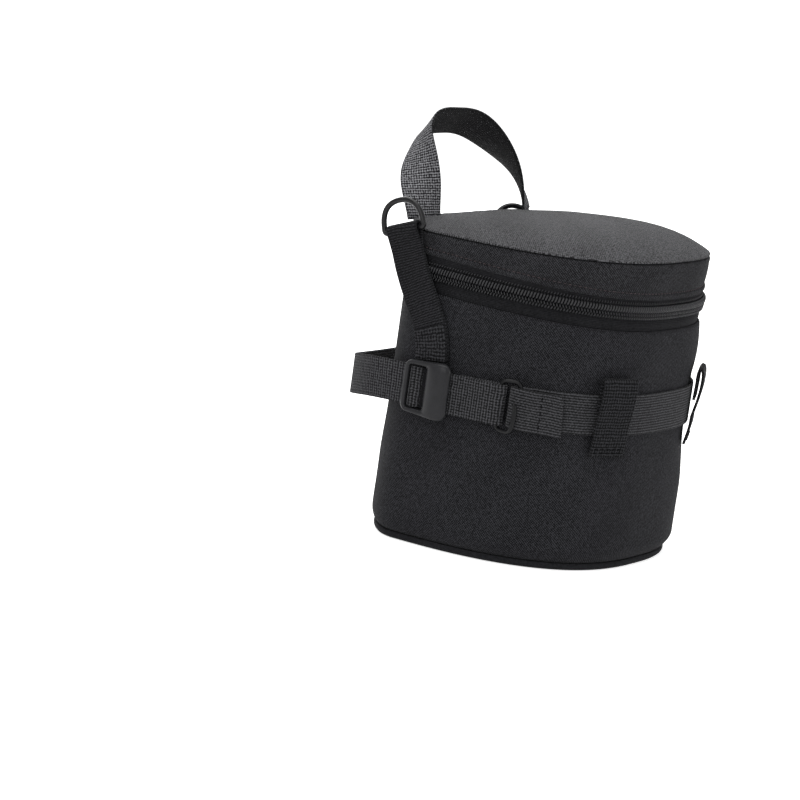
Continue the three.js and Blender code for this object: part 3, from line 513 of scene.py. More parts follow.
def band_swell(share, z):
    """How far the band stands out: a welt of a half wave, a groove, a broad half wave above it, puckers along
    the upper seam and a slow wave along the band. Its foot lies further in than its top."""
    low, station = band_edge(wall_y(share)), np.abs(share) * GIRTH
    k, above = np.clip((z - low) / (151.2 - low), 0, 1), z - low
    welt = WELT * np.clip(np.sin(np.pi * np.clip(above / WELT_TALL, 0, 1)), 0, 1) ** 0.6
    groove = 0.35 * bump(above, GROOVE_Z, 0.9)
    full = 0.5 * np.sin(np.pi * np.clip((above - GROOVE_Z) / (147.9 - low), 0, 1)) ** 0.8
    pucker = 0.24 * np.sin(station / 2.6) * np.sin(station / 9.1) * bump(z, 149.8, 2.4)
    slow = 0.1 * np.sin(station / 8.0) * np.sin(np.pi * k)
    return welt - groove + full + pucker - WELT * (1 - k) + slow


band_black = cloth("band_twill", (0.0158, 0.0158, 0.0174), 1.25, "twill", 0.24, 0.02, spread=1.9, speck=3.0)
panel_sweep("lid_band_cloth", front_shares, band_edge(front_y), BAND_TOP, band_swell, band_black, "lid",
            ["lid_band"], rows=72, tuck=0.75, edge=1.5)


# Padding and lining of the lid: a strip of foam behind the band, a domed pad under the top panel, and brushed
# cloth below, sewn in with the band. The lining sags a little towards its middle.
def lid_foam_section(y, share):
    """Rectangle behind the band. Its foot follows the zip, up to a fixed height at the rear."""
    low = min(zip_z(y) + 9.6, 141.6)
    return [(2.5, low), (2.5, 144.6), (6.7, 144.6), (6.7, low)]


lid_pad = section_sweep("lid_edge_padding", front_shares[::2], lid_foam_section, foam_grey, "lid",
                        ["lid_band_foam"])
pad_rows = [(s, 150.8, 0, crown(s) - 0.2) for s in (0.05, 0.4, 0.7, 0.85, 0.95, 0.99)]
pad_rows += [(1.0, 150.8, 0), (1.0, 147.8, 0.3), (1.0, 145.4, 0), *flat_rows((0.98, 0.6, 0.05), 145.1)]
lid_core = dome("lid_padding", 9.4, pad_rows, foam_grey, "lid", ["lid_foam"])
quilt_rows = flat_rows((0.05, 0.5, 0.9, 1.0), 144.6)
quilt_rows += [(1.0, 143.9, 0), (0.95, 143.6, 0), (0.7, 143.2, 0), (0.4, 143.0, 0), (0.05, 143.0, 0)]
dome("lid_lining_cloth", 9.3, quilt_rows, inner_grey, "lid", ["lid_lining"])

# Hinge: a strip of plain cloth sewn to the top of the back panel and to the lid. It is drawn as the lid lies
# shut and rides on no body.
HINGE_HALF = 38.0
hinge_outer = [(63.9, 145.2), (64.0, 147.5), (64.05, 149.5), (64.0, 150.8), (63.8, 151.6), (63.5, 152.1)]
hinge_inner = [(63.3, 152.1), (63.55, 151.4), (63.7, 150.6), (63.72, 149.5), (63.7, 147.5), (63.65, 145.2)]
hinge_line = np.array(hinge_outer + hinge_inner)
hinge_grid = np.zeros((40, len(hinge_line), 3))
hinge_grid[..., 0] = np.linspace(-HINGE_HALF, HINGE_HALF, 40)[:, None]
hinge_grid[..., 1:] = hinge_line
trim_black = cloth("trim_cloth", (0.0072, 0.0072, 0.0081), 0.9, "basket", 0.12, 0.01)
hinge = solid("hinge_cloth", hinge_grid, trim_black, None, ["hinge_strip"])
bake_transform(hinge)

# Zip tapes: woven nylon tapes, sewn under the wall's top edge and under the band. Each rolls softly outwards
# between the coil and its seam.
TAPE_SHARE, TAPE_TOP = 0.795, 150.4
tape_black = cloth("zip_tape", (0.0095, 0.0095, 0.0105), 0.8, "along", 0.10, 0.01)


def tape(name, side, body, node):
    """Tape from 1.2 to 13.6 mm above or below the zip's line. Its outer face stands out in a smooth bump."""
    shares = np.linspace(-TAPE_SHARE, TAPE_SHARE, 300)[:, None]
    reach = 1.2 + np.linspace(0, 1, 26) * 12.4
    margins = np.concatenate([1.3 - 0.5 * bump(reach, 6.4, 3.3), np.full_like(reach, 2.1)])
    middle = zip_z(wall_y(shares))
    z = np.minimum(middle + side * np.concatenate([reach, reach[::-1]])[None], TAPE_TOP)
    uv = np.stack(np.broadcast_arrays(shares * GIRTH, z - middle), -1)
    solid(name, wall(shares, margins, z), tape_black, body, [node], uv=uv)


tape("lower_zip_tape_cloth", -1, "case", "lower_zip_tape")
tape("upper_zip_tape_cloth", 1, "lid", "upper_zip_tape")

# Zip coils: nylon coils stitched along the tapes, whose ribs mesh at the mouth. Past the slider, and round
# the rear corners, the two rows stand apart. A fine chain of the tape's weave runs above them.
TOOTH, TEETH_APART = 1.5, 0.75
CHAIN_SHARE, CHAIN_END = 0.785, 150.6
SLIDER_FREE, CORNER_Y = 111.0, 50


def unit(v):
    """Directions divided by their length."""
    return v / (np.linalg.norm(v, axis=-1, keepdims=True) + 1e-12)


def level(v):
    """Flat directions as directions in space."""
    return np.concatenate([v, np.zeros(v.shape[:-1] + (1,))], -1)


def frame_at(station):
    """Point on the outline, direction along it, by a small step each way, and direction outwards."""
    share, step = np.asarray(station, float) / GIRTH, 0.0012
    along = unit(at_share(0, share + step) - at_share(0, share - step))
    return at_share(0, share), along, np.stack([along[..., 1], -along[..., 0]], -1)


def hoops(path, first, second, radius, sides):
    """Rings of points round a path: cosine of the turn along the first direction, sine along the second."""
    a = np.linspace(0, 2 * np.pi, sides, endpoint=False)
    r = np.broadcast_to(radius, (len(path),))[:, None, None]
    return path[:, None] + r * (first[:, None] * np.cos(a)[:, None] + second[:, None] * np.sin(a)[:, None])


def gathered(parts):
    """Points and faces of several parts as one mesh."""
    points, faces, count = [], [], 0
    for part, part_faces in parts:
        points.append(part)
        faces += [[k + count for k in face] for face in part_faces]
        count += len(part)
    return np.concatenate(points), faces


def chain(name, rows, material, body, nodes=()):
    """Rows of slanted ribs bent over the tape. A row is (near, far, radius, reach out, phase, slant), and a
    rib runs from near to far above the zip's line along an arch that dives into the tape at both ends."""
    arch = np.array([-1.6, -0.35, 0.0, 0.1, 0.0, -0.35, -1.6])
    climb = np.array([0.0, 0.03, 0.2, 0.5, 0.8, 0.97, 1.0])
    rings, sides = len(arch), 7
    ring, rows_start = np.arange(sides), np.arange(rings - 1)[:, None] * sides
    this, following = rows_start + ring, rows_start + (ring + 1) % sides
    skin = np.stack([this, following, following + sides, this + sides], -1).reshape(-1, 4).tolist()
    skin += [ring[::-1].tolist(), (ring + (rings - 1) * sides).tolist()]
    teeth = []
    for near, far, radius, reach, phase, slant in rows:
        for station in np.arange(-CHAIN_SHARE * GIRTH, CHAIN_END, TOOTH) + phase * TOOTH:
            point, along, out = frame_at(station)
            free = station > SLIDER_FREE or point[1] > CORNER_Y
            apart = math.copysign(TEETH_APART, far) if free else 0.0
            p = np.zeros((rings, 3))
            p[:, :2] = point + np.outer(reach + arch, out) + np.outer((climb - 0.5) * slant, along)
            p[:, 2] = zip_z(point[1]) + near + (far - near) * climb + apart
            t = unit(np.gradient(p, axis=0))
            first = unit(level(along) - t * (t @ level(along))[:, None])
            teeth.append((hoops(p, first, np.cross(t, first), radius, sides).reshape(-1, 3), skin))
    points, faces = gathered(teeth)
    make(name, points, faces, points[:, :2], material, body, nodes)


def hard(name, colour, rough, grain, depth, gloss):
    """Moulded plastic or coated metal: a fine grain, and gloss that varies with it and with broad patches."""
    material, tree, shader = start(name)
    coordinates = tree.nodes.new("ShaderNodeTexCoord").outputs["Object"]
    fine = noise(tree, coordinates, grain, 2.0)
    broad = noise(tree, coordinates, 90.0, 3.0)
    shade = (broad - 0.5) * 0.5 + (fine - 0.5) * 0.3 + 0.45
    finish_surface(tree, shader, colour, shade, fine + broad, depth, rough, 0.12)
    shader.inputs["Specular IOR Level"].default_value = gloss
    return material


zip_black = hard("zip_nylon", (0.0095, 0.0095, 0.0107), 0.36, 2000.0, 0.01, 0.26)
chain_black = hard("zip_chain", (0.013, 0.013, 0.0145), 0.45, 2000.0, 0.01, 0.3)
chain("upper_zip_teeth", [(0.2, 2.65, 0.52, 0.75, 0.0, 0.75)], zip_black, "lid", ["upper_zip_coil"])
chain("lower_zip_teeth", [(-0.3, -1.75, 0.36, 0.5, 0.5, 0.55), (-1.95, -3.3, 0.36, 0.25, 0.0, -0.55)],
      zip_black, "case", ["lower_zip_coil"])
chain("upper_tape_chain", [(3.35, 4.6, 0.24, -0.75, 0.25, 0.6)], chain_black, "lid")

# Zip slider and pull: a lacquered metal slider between the rows and a moulded pull on its crown. Both keep
# the shape of the frame, in these finishes.
hook_black = hard("hook_metal", (0.003, 0.003, 0.0035), 0.24, 500.0, 0.006, 0.12)
buckle_black = hard("buckle_plastic", (0.0125, 0.0125, 0.0138), 0.25, 1500.0, 0.02, 0.11)
for node, material in (("zip_slider", hook_black), ("zip_pull", buckle_black)):
    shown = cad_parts[node].data.materials
    shown.clear()
    shown.append(material)

# Waist strap: 20 mm webbing laid flat round the nose. At its left end it folds back over itself into a loop
# for the hook, and its doubled end hangs a little lower.
WEB, WEB_WIDTH = 1.4, 20.0
STRAP_Z, STRAP_GAP = 77.5, 0.3
STRAP_IN = STRAP_GAP + WEB / 2
STRAP_OVER = STRAP_IN + WEB + STRAP_GAP
STRAP_END, FOLD_S, LOOP_RISE = 141, -88, 5.4
WEB_STEP, BACK_FACE = 1.6, 40.0
UP = np.array([0.0, 0.0, 1.0])


def on_wall(station, reach, z):
    """Point at a reach outwards from the case's outline at a station, at a height."""
    point, _, out = frame_at(station)
    return np.append(point + out * reach, z)


def read_line(at, run, line):
    """Points of a line at distances along it."""
    return np.stack([np.interp(at, run, line[:, k]) for k in range(3)], 1)


def smooth(points, step):
    """Centripetal Catmull-Rom curve through points, as a cubic between each two, resampled evenly."""
    p = np.asarray(points, float)
    p = np.concatenate([[2 * p[0] - p[1]], p, [2 * p[-1] - p[-2]]])
    t = np.linspace(0, 1, 24, endpoint=False)[:, None]
    found = []
    for i in range(1, len(p) - 2):
        p0, p1, p2, p3 = p[i - 1:i + 3]
        d0, d1, d2 = [max(np.linalg.norm(b - a) ** 0.5, 1e-4) for a, b in ((p0, p1), (p1, p2), (p2, p3))]
        t1 = ((p1 - p0) / d0 - (p2 - p0) / (d0 + d1) + (p2 - p1) / d1) * d1
        t2 = ((p2 - p1) / d1 - (p3 - p1) / (d1 + d2) + (p3 - p2) / d2) * d1
        found.append(p1 + t1 * t + (3 * (p2 - p1) - 2 * t1 - t2) * t * t + (2 * (p1 - p2) + t1 + t2) * t ** 3)
    dense = np.concatenate(found + [p[-2:-1]])
    run = lengths(dense)
    return read_line(np.linspace(0, run[-1], max(math.ceil(run[-1] / step), 2) + 1), run, dense)


def ribbon_section(width, thick):
    """Offsets across and outwards round webbing: two flat faces, and edges rounded by three points each."""
    half, t, edge, lip = width / 2, thick / 2, 0.55, 0.12
    x = np.concatenate([np.linspace(-half + edge, half - edge, 11), [half - lip, half, half - lip],
                        np.linspace(half - edge, -half + edge, 11), [-half + lip, -half, -half + lip]])
    y = np.concatenate([np.full(11, t), [t * 0.72, 0, -t * 0.72], np.full(11, -t), [-t * 0.72, 0, t * 0.72]])
    return x, y


def webbing(name, centres, widths, material, body, nodes=(), width=WEB_WIDTH, thick=WEB, cut=0.0):
    """Webbing along centres, its width square to them. A cut slants its last 6 mm, by so many mm at each
    edge. The map of its back face lies BACK_FACE further across."""
    tangent = unit(np.gradient(centres, axis=0))
    across = unit(widths - tangent * np.sum(widths * tangent, axis=1, keepdims=True))
    normal = np.cross(tangent, across)
    x, y = ribbon_section(width, thick)
    run = lengths(centres)
    grid = centres[:, None] + across[:, None] * x[:, None] + normal[:, None] * y[:, None]
    near_end = np.clip(1 - (run[-1] - run) / 6, 0, 1)
    grid += tangent[:, None] * (near_end[:, None] * cut * x[None] / (width / 2))[..., None]
    uv = np.stack(np.broadcast_arrays(run[:, None], x + np.where(y < 0, BACK_FACE, 0.0)), -1)
    return solid(name, grid, material, body, nodes, uv=uv)


layers = [(s, STRAP_IN, 0.0) for s in np.linspace(STRAP_END, FOLD_S + LOOP_RISE, 46)]
layers += [(FOLD_S - LOOP_RISE / 4, STRAP_IN + LOOP_RISE / 8, 0.0),
           (FOLD_S - LOOP_RISE / 2, STRAP_IN + LOOP_RISE / 2, 0.0),
           (FOLD_S - LOOP_RISE / 4, STRAP_IN + LOOP_RISE * 7 / 8, 0.0),
           (FOLD_S + LOOP_RISE, STRAP_IN + LOOP_RISE, 0.5),
           (FOLD_S + 3 * LOOP_RISE, STRAP_OVER + 0.2, 1.6), (-66, STRAP_OVER + 0.5, 2.2)]
waist = smooth([on_wall(s, out, STRAP_Z - drop) for s, out, drop in layers], WEB_STEP)
web_along = cloth("strap_ribbed", (0.0230, 0.0230, 0.0248), 1.3, "along", 0.32, 0.05, spread=1.5, speck=1.8)
webbing("waist_strap_webbing", waist, UP, web_along, "case", ["waist_strap"], cut=-1.7)

# Adjuster strap: 20 mm webbing from a short return, folded round the hook's bar, along the left side through
# the buckle, and behind the back as a loose loop to the waist strap's right end, where it is sewn on.
HOOK_R, HOOK_S, HOOK_OUT = 1.1, 95.5, 3.7
ADJ_OUT, ADJ_X = 3.5, 82.7
RETURN_S, STRAIGHT_S, SEWN_S = 117, 118, 118


def left_point(station, out):
    """Point on the left side in the middle of the strap."""
    return on_wall(-station, out, STRAP_Z)


run_left = [left_point(s, STRAP_IN) for s in np.linspace(RETURN_S, HOOK_S + 4, 5)]
run_left += [left_point(HOOK_S - HOOK_R * 1.2, HOOK_OUT - HOOK_R * 1.4),
             left_point(HOOK_S - HOOK_R * 2.1, HOOK_OUT),
             left_point(HOOK_S - HOOK_R * 1.2, HOOK_OUT + HOOK_R * 1.4),
             left_point(HOOK_S + HOOK_R, HOOK_OUT + HOOK_R + WEB * 0.8),
             left_point(HOOK_S + 8, ADJ_OUT - WEB / 2 + WEB * 1.6)]
run_left += [left_point(s, ADJ_OUT + 0.3) for s in np.linspace(HOOK_S + 16, STRAIGHT_S, 3)]
straight = ((12, 0), (16.4, 0), (19, -1.5), (21, -1.5), (23.2, 0), (28.7, 0), (37, 0))
rear_loop = [(82.3, 45, 0.3), (79, 57, 1.5), (70, 69.5, 4), (57.5, 78.5, 6.5), (41, 84, 8.3), (21, 86, 9)]
run = run_left + [(-ADJ_X - d, y, STRAP_Z) for y, d in straight]
run += [(-x, y, STRAP_Z - d) for x, y, d in rear_loop] + [(0, 86.5, STRAP_Z - 9)]
run += [(x, y, STRAP_Z - d) for x, y, d in rear_loop[::-1]]
run += [on_wall(s, STRAP_OVER, STRAP_Z) for s in np.linspace(STRAP_END, SEWN_S, 5)]
web_grid = cloth("webbing_grid", (0.0232, 0.0232, 0.0250), 1.35, "grid", 0.40, 0.03, spread=1.9, speck=2.6)
webbing("adjuster_strap_webbing", smooth(run, WEB_STEP), UP, web_grid, "case", ["adjuster_strap"])

# Wire hook: one bent and lacquered wire. One side lies in the adjuster strap's fold, the far bar in the waist
# strap's loop, and the free prong stands in front of that loop.
STRAP_TOP, STRAP_LOW = STRAP_Z + 10, STRAP_Z - 10
FAR_BAR = HOOK_S - 8.5
HOOK_TOP, HOOK_LOW = STRAP_TOP + 0.6 + HOOK_R, STRAP_LOW - 0.6 - HOOK_R
PRONG_OUT, PRONG_TOP = 8.6, 79.0


def tube(name, path, radius, material, body, nodes, sides=18, closed=False):
    """Round wire along a path, by frames carried along it without twist. A closed path spreads what twist is
    left over its length, and an open one ends in round caps of three rings."""
    n = len(path)
    ahead = np.roll(path, -1, 0) - np.roll(path, 1, 0) if closed else np.gradient(path, axis=0)
    tangent = unit(ahead)
    normal = np.zeros_like(path)
    seed = UP if abs(tangent[0, 2]) < 0.9 else np.array([1.0, 0.0, 0.0])
    for i in range(n):
        seed = unit(seed - tangent[i] * np.dot(seed, tangent[i]))
        normal[i] = seed
    side = np.cross(tangent, normal)
    if closed:
        twist = math.atan2(np.dot(normal[-1], side[0]), np.dot(normal[-1], normal[0]))
        turn = (-twist * np.arange(n) / n)[:, None]
        normal, side = (normal * np.cos(turn) + side * np.sin(turn),
                        -normal * np.sin(turn) + side * np.cos(turn))
    grid = hoops(path, normal, side, radius, sides)
    if not closed:
        ends = [[path[end] + (grid[end] - path[end]) * math.cos(c * math.pi / 2 * 0.98)
                 + tangent[end] * sign * radius * math.sin(c * math.pi / 2) for c in (0.45, 0.8, 1.0)]
                for end, sign in ((0, -1), (-1, 1))]
        grid = np.concatenate([ends[0][::-1], grid, ends[1]])
    solid(name, grid, material, body, nodes, wrap_u=closed)


hook_rows = [(FAR_BAR, HOOK_OUT, STRAP_LOW + 0.6), (FAR_BAR, HOOK_OUT, STRAP_Z),
             (FAR_BAR, HOOK_OUT, HOOK_TOP - HOOK_R * 1.5), (FAR_BAR + HOOK_R, HOOK_OUT, HOOK_TOP),
             (HOOK_S - HOOK_R, HOOK_OUT, HOOK_TOP), (HOOK_S, HOOK_OUT, HOOK_TOP - HOOK_R * 1.5),
             (HOOK_S, HOOK_OUT, STRAP_Z), (HOOK_S, HOOK_OUT, HOOK_LOW + HOOK_R * 1.5),
             (HOOK_S - HOOK_R, HOOK_OUT + HOOK_R / 2, HOOK_LOW),
             (FAR_BAR + 2 * HOOK_R, PRONG_OUT - HOOK_R, HOOK_LOW),
             (FAR_BAR + HOOK_R, PRONG_OUT, HOOK_LOW + HOOK_R * 1.5),
             (FAR_BAR + HOOK_R / 2, PRONG_OUT, PRONG_TOP - HOOK_R), (FAR_BAR + HOOK_R, PRONG_OUT, PRONG_TOP)]
tube("hook_wire", smooth([on_wall(-s, out, z) for s, out, z in hook_rows], 0.7), HOOK_R, hook_black, "hook",
     ["g_hook"])

# Ladder buckle: moulded nylon. Its frame has a window and a broad bulging bar in front of the strap, and two
# posts hold a flat bar behind it. Folds of the strap fill the window, with a strip of painted shadow below
# them.
BUCKLE_Y, BUCKLE_LONG, BUCKLE_FRONT, BUCKLE_REAR = 20.0, 26.0, 28.4, 25.6
REAR_BAR, WINDOW, WINDOW_HALF, PLAY = 3.0, 9.9, 10.7, 0.4
BAR_HALF, BAR_THICK, BAR_BEHIND = 3.0, 0.9, 1.8
BAR_REACH, POST_Y, POST_HALF = 11.6, 11.5, 0.75
LOOP_POINTS = 13


def rounded_loop(x0, x1, rear, front, radius):
    """Points round a frame from x0 to x1, its half height running from rear to front: quarter circles at the
    corners and straight lines between them."""
    corners = [(x1 - radius, front - radius, 0), (x0 + radius, rear - radius, 90),
               (x0 + radius, radius - rear, 180), (x1 - radius, radius - front, 270)]
    bends = [[(x + radius * math.cos(a), y + radius * math.sin(a))
              for a in np.radians(np.linspace(begin, begin + 90, LOOP_POINTS))] for x, y, begin in corners]
    points = []
    for k, bend in enumerate(bends):
        last, ahead = np.array(bend[-1]), np.array(bends[(k + 1) % 4][0])
        points += bend + [last + (ahead - last) * t for t in np.linspace(0, 1, LOOP_POINTS)[1:-1]]
    return np.array(points)


def squared(wave, half):
    """Cosine or sine to a low power with its sign kept, which makes the round nearly a rectangle."""
    return np.sign(wave) * np.abs(wave) ** 0.4 * half


def buckle():
    """The frame's skin runs from the window's rim to the outer rim and back below, at shares of the way and
    depths. A half wave along the broad bar makes its bulge, and a smooth step lowers the rear end. Own axes:
    x forwards, y up, z outwards."""
    half, front = BUCKLE_LONG / 2, ADJ_OUT + WEB / 2 + PLAY
    outer = rounded_loop(-half, half, BUCKLE_REAR / 2, BUCKLE_FRONT / 2, 4.6)
    window = rounded_loop(-half + REAR_BAR, -half + REAR_BAR + WINDOW, WINDOW_HALF, WINDOW_HALF, 1.6)
    share = np.array([0, 0, 0.04, 0.1, 0.2, 0.32, 0.45, 0.58, 0.7, 0.82, 0.91, 0.97, 1, 1, 0.93, 0.5, 0.07])
    depth = np.array([0.55, 1.5, 1.95, 2.2, 2.35, 2.45, 2.5, 2.5, 2.42, 2.25, 1.95, 1.5, 1.1, 0.6, 0, 0, 0])
    flat = window[:, None] + (outer - window)[:, None] * share[None, :, None]
    x, y = flat[..., 0], flat[..., 1]
    along = np.clip((x - (WINDOW + REAR_BAR - half)) / (BUCKLE_LONG - WINDOW - REAR_BAR), 0, 1)
    lifted = np.clip(depth / 2, 0, 1)[None]
    bulge = 2.1 * np.sin(np.pi * np.clip(along * 0.92 + 0.02, 0, 1)) ** 0.8 * lifted
    bulge *= np.sqrt(np.clip(1 - (y / (BUCKLE_FRONT / 2)) ** 4, 0, 1))
    rear = -0.55 * ease((-half + REAR_BAR - x) / REAR_BAR) * lifted
    skin = np.concatenate([flat, (front + depth[None] + bulge + rear)[..., None]], 2)

    bar_x, bar_z = -half + REAR_BAR + BAR_BEHIND + BAR_HALF, ADJ_OUT - WEB / 2 - PLAY - BAR_THICK
    y = np.concatenate([[-BAR_REACH, -11.55], np.linspace(-11.3, 11.3, 15), [11.55, BAR_REACH]])
    grow = np.array([0.6, 0.9] + [1.0] * 15 + [0.9, 0.6])[:, None]
    a = np.linspace(0, 2 * np.pi, 20, endpoint=False)
    rod = np.zeros((len(y), len(a), 3))
    rod[..., 0] = bar_x + squared(np.cos(a), BAR_HALF) * grow
    rod[..., 1] = y[:, None]
    rod[..., 2] = bar_z + squared(np.sin(a), BAR_THICK) * grow
    grids = [(skin, True), (rod, False)]
    for side in (-1, 1):
        post = np.zeros((6, len(a), 3))
        post[..., 0] = bar_x + squared(np.cos(a), BAR_HALF)
        post[..., 1] = side * POST_Y + squared(np.sin(a), POST_HALF)
        post[..., 2] = np.linspace(bar_z - 0.8, front + 1.2, 6)[:, None]
        grids.append((post, False))
    parts = [lattice(grid, closed)[:2] for grid, closed in grids]
    p, faces = gathered([(points, outward(points, faces)) for points, faces in parts])
    placed = np.stack([-HALF_WIDTH - p[:, 2], BUCKLE_Y - p[:, 0], STRAP_Z + p[:, 1]], 1)
    make("buckle_frame", placed, faces, p[:, :2], buckle_black, "buckle", ["ladder_buckle"])


buckle()
folds = [(29.6, 4.8), (28.9, 5.6), (28.0, 6.0), (27.1, 5.6), (26.5, 5.0), (25.9, 5.6), (25.0, 6.0),
         (24.0, 5.6), (23.4, 4.6), (23.3, 3.4)]
over = smooth([(-HALF_WIDTH - out, y, STRAP_Z) for y, out in folds], 0.4)
webbing("buckle_webbing_folds", over, UP, web_grid, "buckle", width=19.4, thick=0.8)
# Painted shadow: a strip of dark trim cloth below the folds darkens the gap between them and the broad bar.
under = smooth([(-HALF_WIDTH - out, y, STRAP_Z) for y, out in ((23.9, 4.25), (21, 4.1), (18.2, 4.0))], 0.8)
webbing("buckle_gap_painted_shadow", under, UP, trim_black, "buckle", width=20.6, thick=0.5)

# Attachment loops: two strips of coarse webbing over the waist strap, one at each side of the nose. Each is
# sewn down below the strap, bows out over it, and folds back at its top.
LOOP_S, LOOP_BULGE, LOOP_HIGH = 41.0, 5.6, 96.0
LOOP_IN = STRAP_OVER + STRAP_GAP
LOOP_MID = (LOOP_IN + LOOP_BULGE) / 2
LOOP_BOW = WEB_WIDTH ** 2 / (8 * HALF_WIDTH)
loop_rows = [(STRAP_IN + 0.15, 57.5), (STRAP_OVER + 0.15, STRAP_LOW - 0.3), (LOOP_IN, STRAP_LOW + WEB * 3),
             (LOOP_MID, STRAP_Z + 0.3), (LOOP_BULGE, STRAP_TOP), (LOOP_BULGE - 0.3, LOOP_HIGH - WEB),
             (LOOP_MID, LOOP_HIGH), (LOOP_IN + 0.3, LOOP_HIGH - WEB), (LOOP_IN, STRAP_TOP - 0.3),
             (STRAP_OVER, STRAP_Z + WEB * 2)]
web_loop = cloth("webbing_loop", (0.0102, 0.0102, 0.0113), 1.5, "grid", 0.44, 0.02, spread=2.2, speck=3.0)
loop_lines = []
for word, side in (("left", -1), ("right", 1)):
    _, along, out = frame_at(side * LOOP_S)
    centres = smooth([on_wall(side * LOOP_S, o + LOOP_BOW, z) for o, z in loop_rows], 1.0)
    webbing(f"{word}_loop_webbing", centres, level(along), web_loop, "case", [f"{word}_attachment_loop"])
    loop_lines.append((centres, level(along), level(out)))

# Ring tabs: webbing folded double round each ring's bar and sewn to the wall at its foot, under a patch of
# coarse cloth. The left one leans back along the side, the right one follows the rear corner.
TAB_LOW, TAB_EYE, TAB_GAP, TAB_WIDTH = 91.4, 2.2, 0.3, 17.2
TAB_FOOT, TAB_HEAD = 140, 178
web_tab = cloth("webbing_tab", (0.0105, 0.0105, 0.0116), 1.25, "across", 0.32, 0.02, spread=1.4, speck=1.4)
web_patch = cloth("webbing_patch", (0.0135, 0.0135, 0.0148), 1.6, "grid", 0.50, 0.02, spread=1.8, speck=4.4)


def folded_tab(word, line, outs):
    """Webbing up the line, round the ring's bar in an arc and back down. Returns the bar's place, the tab's
    direction there and its width's, the outer leaf's line and the widths along it."""
    top = len(line) - 1
    direction = unit(line[top] - line[top - 1])
    out = unit(outs[top] - direction * np.dot(outs[top], direction))
    across = np.cross(out, direction)
    near, pitch, reach = TAB_GAP + WEB / 2, WEB + TAB_GAP, TAB_EYE + WEB / 2
    bar = line[top] + out * (near + pitch / 2) + direction * TAB_EYE
    inner, outer = line + outs * near, line + outs * (near + pitch)
    round_bar = [bar - out * reach * math.cos(a) + direction * reach * math.sin(a)
                 for a in np.radians(np.linspace(-30, 210, 25))]
    row = np.arange(top)
    leaf = np.cross(outs[:-1], unit(line[row + 1] - line[np.maximum(row - 1, 0)]))
    centres = np.concatenate([inner[:-1], round_bar, outer[:-1][::-1]])
    widths = np.concatenate([leaf, [across] * len(round_bar), leaf[::-1]])
    fine, run = smooth(centres, 1.2), lengths(centres)
    fine_widths = read_line(np.linspace(0, run[-1], len(fine)), run, widths)
    webbing(f"{word}_tab_webbing", fine, fine_widths, web_tab, "case", [f"{word}_ring_tab"], width=TAB_WIDTH)
    patch = smooth(outer[:4] + outs[:4] * (WEB / 2 + 0.35), 1.2)[:15]
    webbing(f"{word}_tab_patch", patch, np.cross(outs[1], direction), web_patch, "case",
            width=TAB_WIDTH - 0.5, thick=0.6)
    return bar, direction, across, outer, leaf


left_run = [(-10.4, 0, 0.4), (-8.9, 10, 0.4), (-5.4, 19, 0.8), (0.1, 29, 1.6), (5.6, 39, 1.9),
            (10.1, 48.5, 1.9), (13.3, 56.8, 1.9)]
left_line = smooth([(-HALF_WIDTH - out, WIDEST + y, TAB_LOW + rise) for y, rise, out in left_run], 7)
left_outs = np.tile([-1.0, 0.0, 0.0], (len(left_line), 1))
left_tab = folded_tab("left", left_line, left_outs)
right_run = [(TAB_FOOT, 0, 0.2), (141, 10, 0.5), (145, 19, 1.4), (152, 28, 2.2), (161, 36, 3.6), (170, 43, 5),
             (TAB_HEAD, 47.5, 7.2)]
right_line = smooth([on_wall(s, out, TAB_LOW + rise) for s, rise, out in right_run], 7)
right_outs = level(frame_at(np.linspace(TAB_FOOT, TAB_HEAD, len(right_line)))[2])
right_tab = folded_tab("right", right_line, right_outs)

# D-rings: 2.8 mm lacquered wire, bent to a straight bar in the tab's eye with a round bow over it. Each turns
# in its tab.
RING_WIRE, RING_BEND = 1.4, 1.6
RING_HALF, RING_RISE = 25.2 / 2 - RING_WIRE, 17.4 - 2 * RING_WIRE
ring_black = hard("ring_metal", (0.003, 0.003, 0.0035), 0.24, 500.0, 0.006, 0.2)


def arc(p0, p1, p2, p3, count):
    """Cubic Bezier curve from p0 to p3, without its last point."""
    t = np.linspace(0, 1, count, endpoint=False)[:, None]
    p0, p1, p2, p3 = np.array([p0, p1, p2, p3], float)
    return (1 - t) ** 3 * p0 + 3 * (1 - t) ** 2 * t * p1 + 3 * (1 - t) * t * t * p2 + t ** 3 * p3


def d_ring(word, bar, direction, across):
    """The D in its own plane, from the bar's left end: bar, bend, two quarters of the bow, and bend."""
    h, r, b = RING_HALF, RING_RISE, RING_BEND
    flat = np.concatenate([
        arc((-h + b, 0), (-h / 3, 0), (h / 3, 0), (h - b, 0), 30),
        arc((h - b, 0), (h - b / 3, 0), (h, b / 3), (h, b), 8),
        arc((h, b), (h, r * 0.75), (h * 0.6, r), (0, r), 34),
        arc((0, r), (-h * 0.6, r), (-h, r * 0.75), (-h, b), 34),
        arc((-h, b), (-h, b / 3), (-h + b / 3, 0), (-h + b, 0), 8)])
    path = bar + np.outer(flat[:, 0], across) + np.outer(flat[:, 1], direction)
    tube(f"{word}_ring_wire", path, RING_WIRE, ring_black, f"{word}_ring", [f"{word}_d_ring"], sides=20,
         closed=True)


d_ring("left", *left_tab[:3])
d_ring("right", *right_tab[:3])
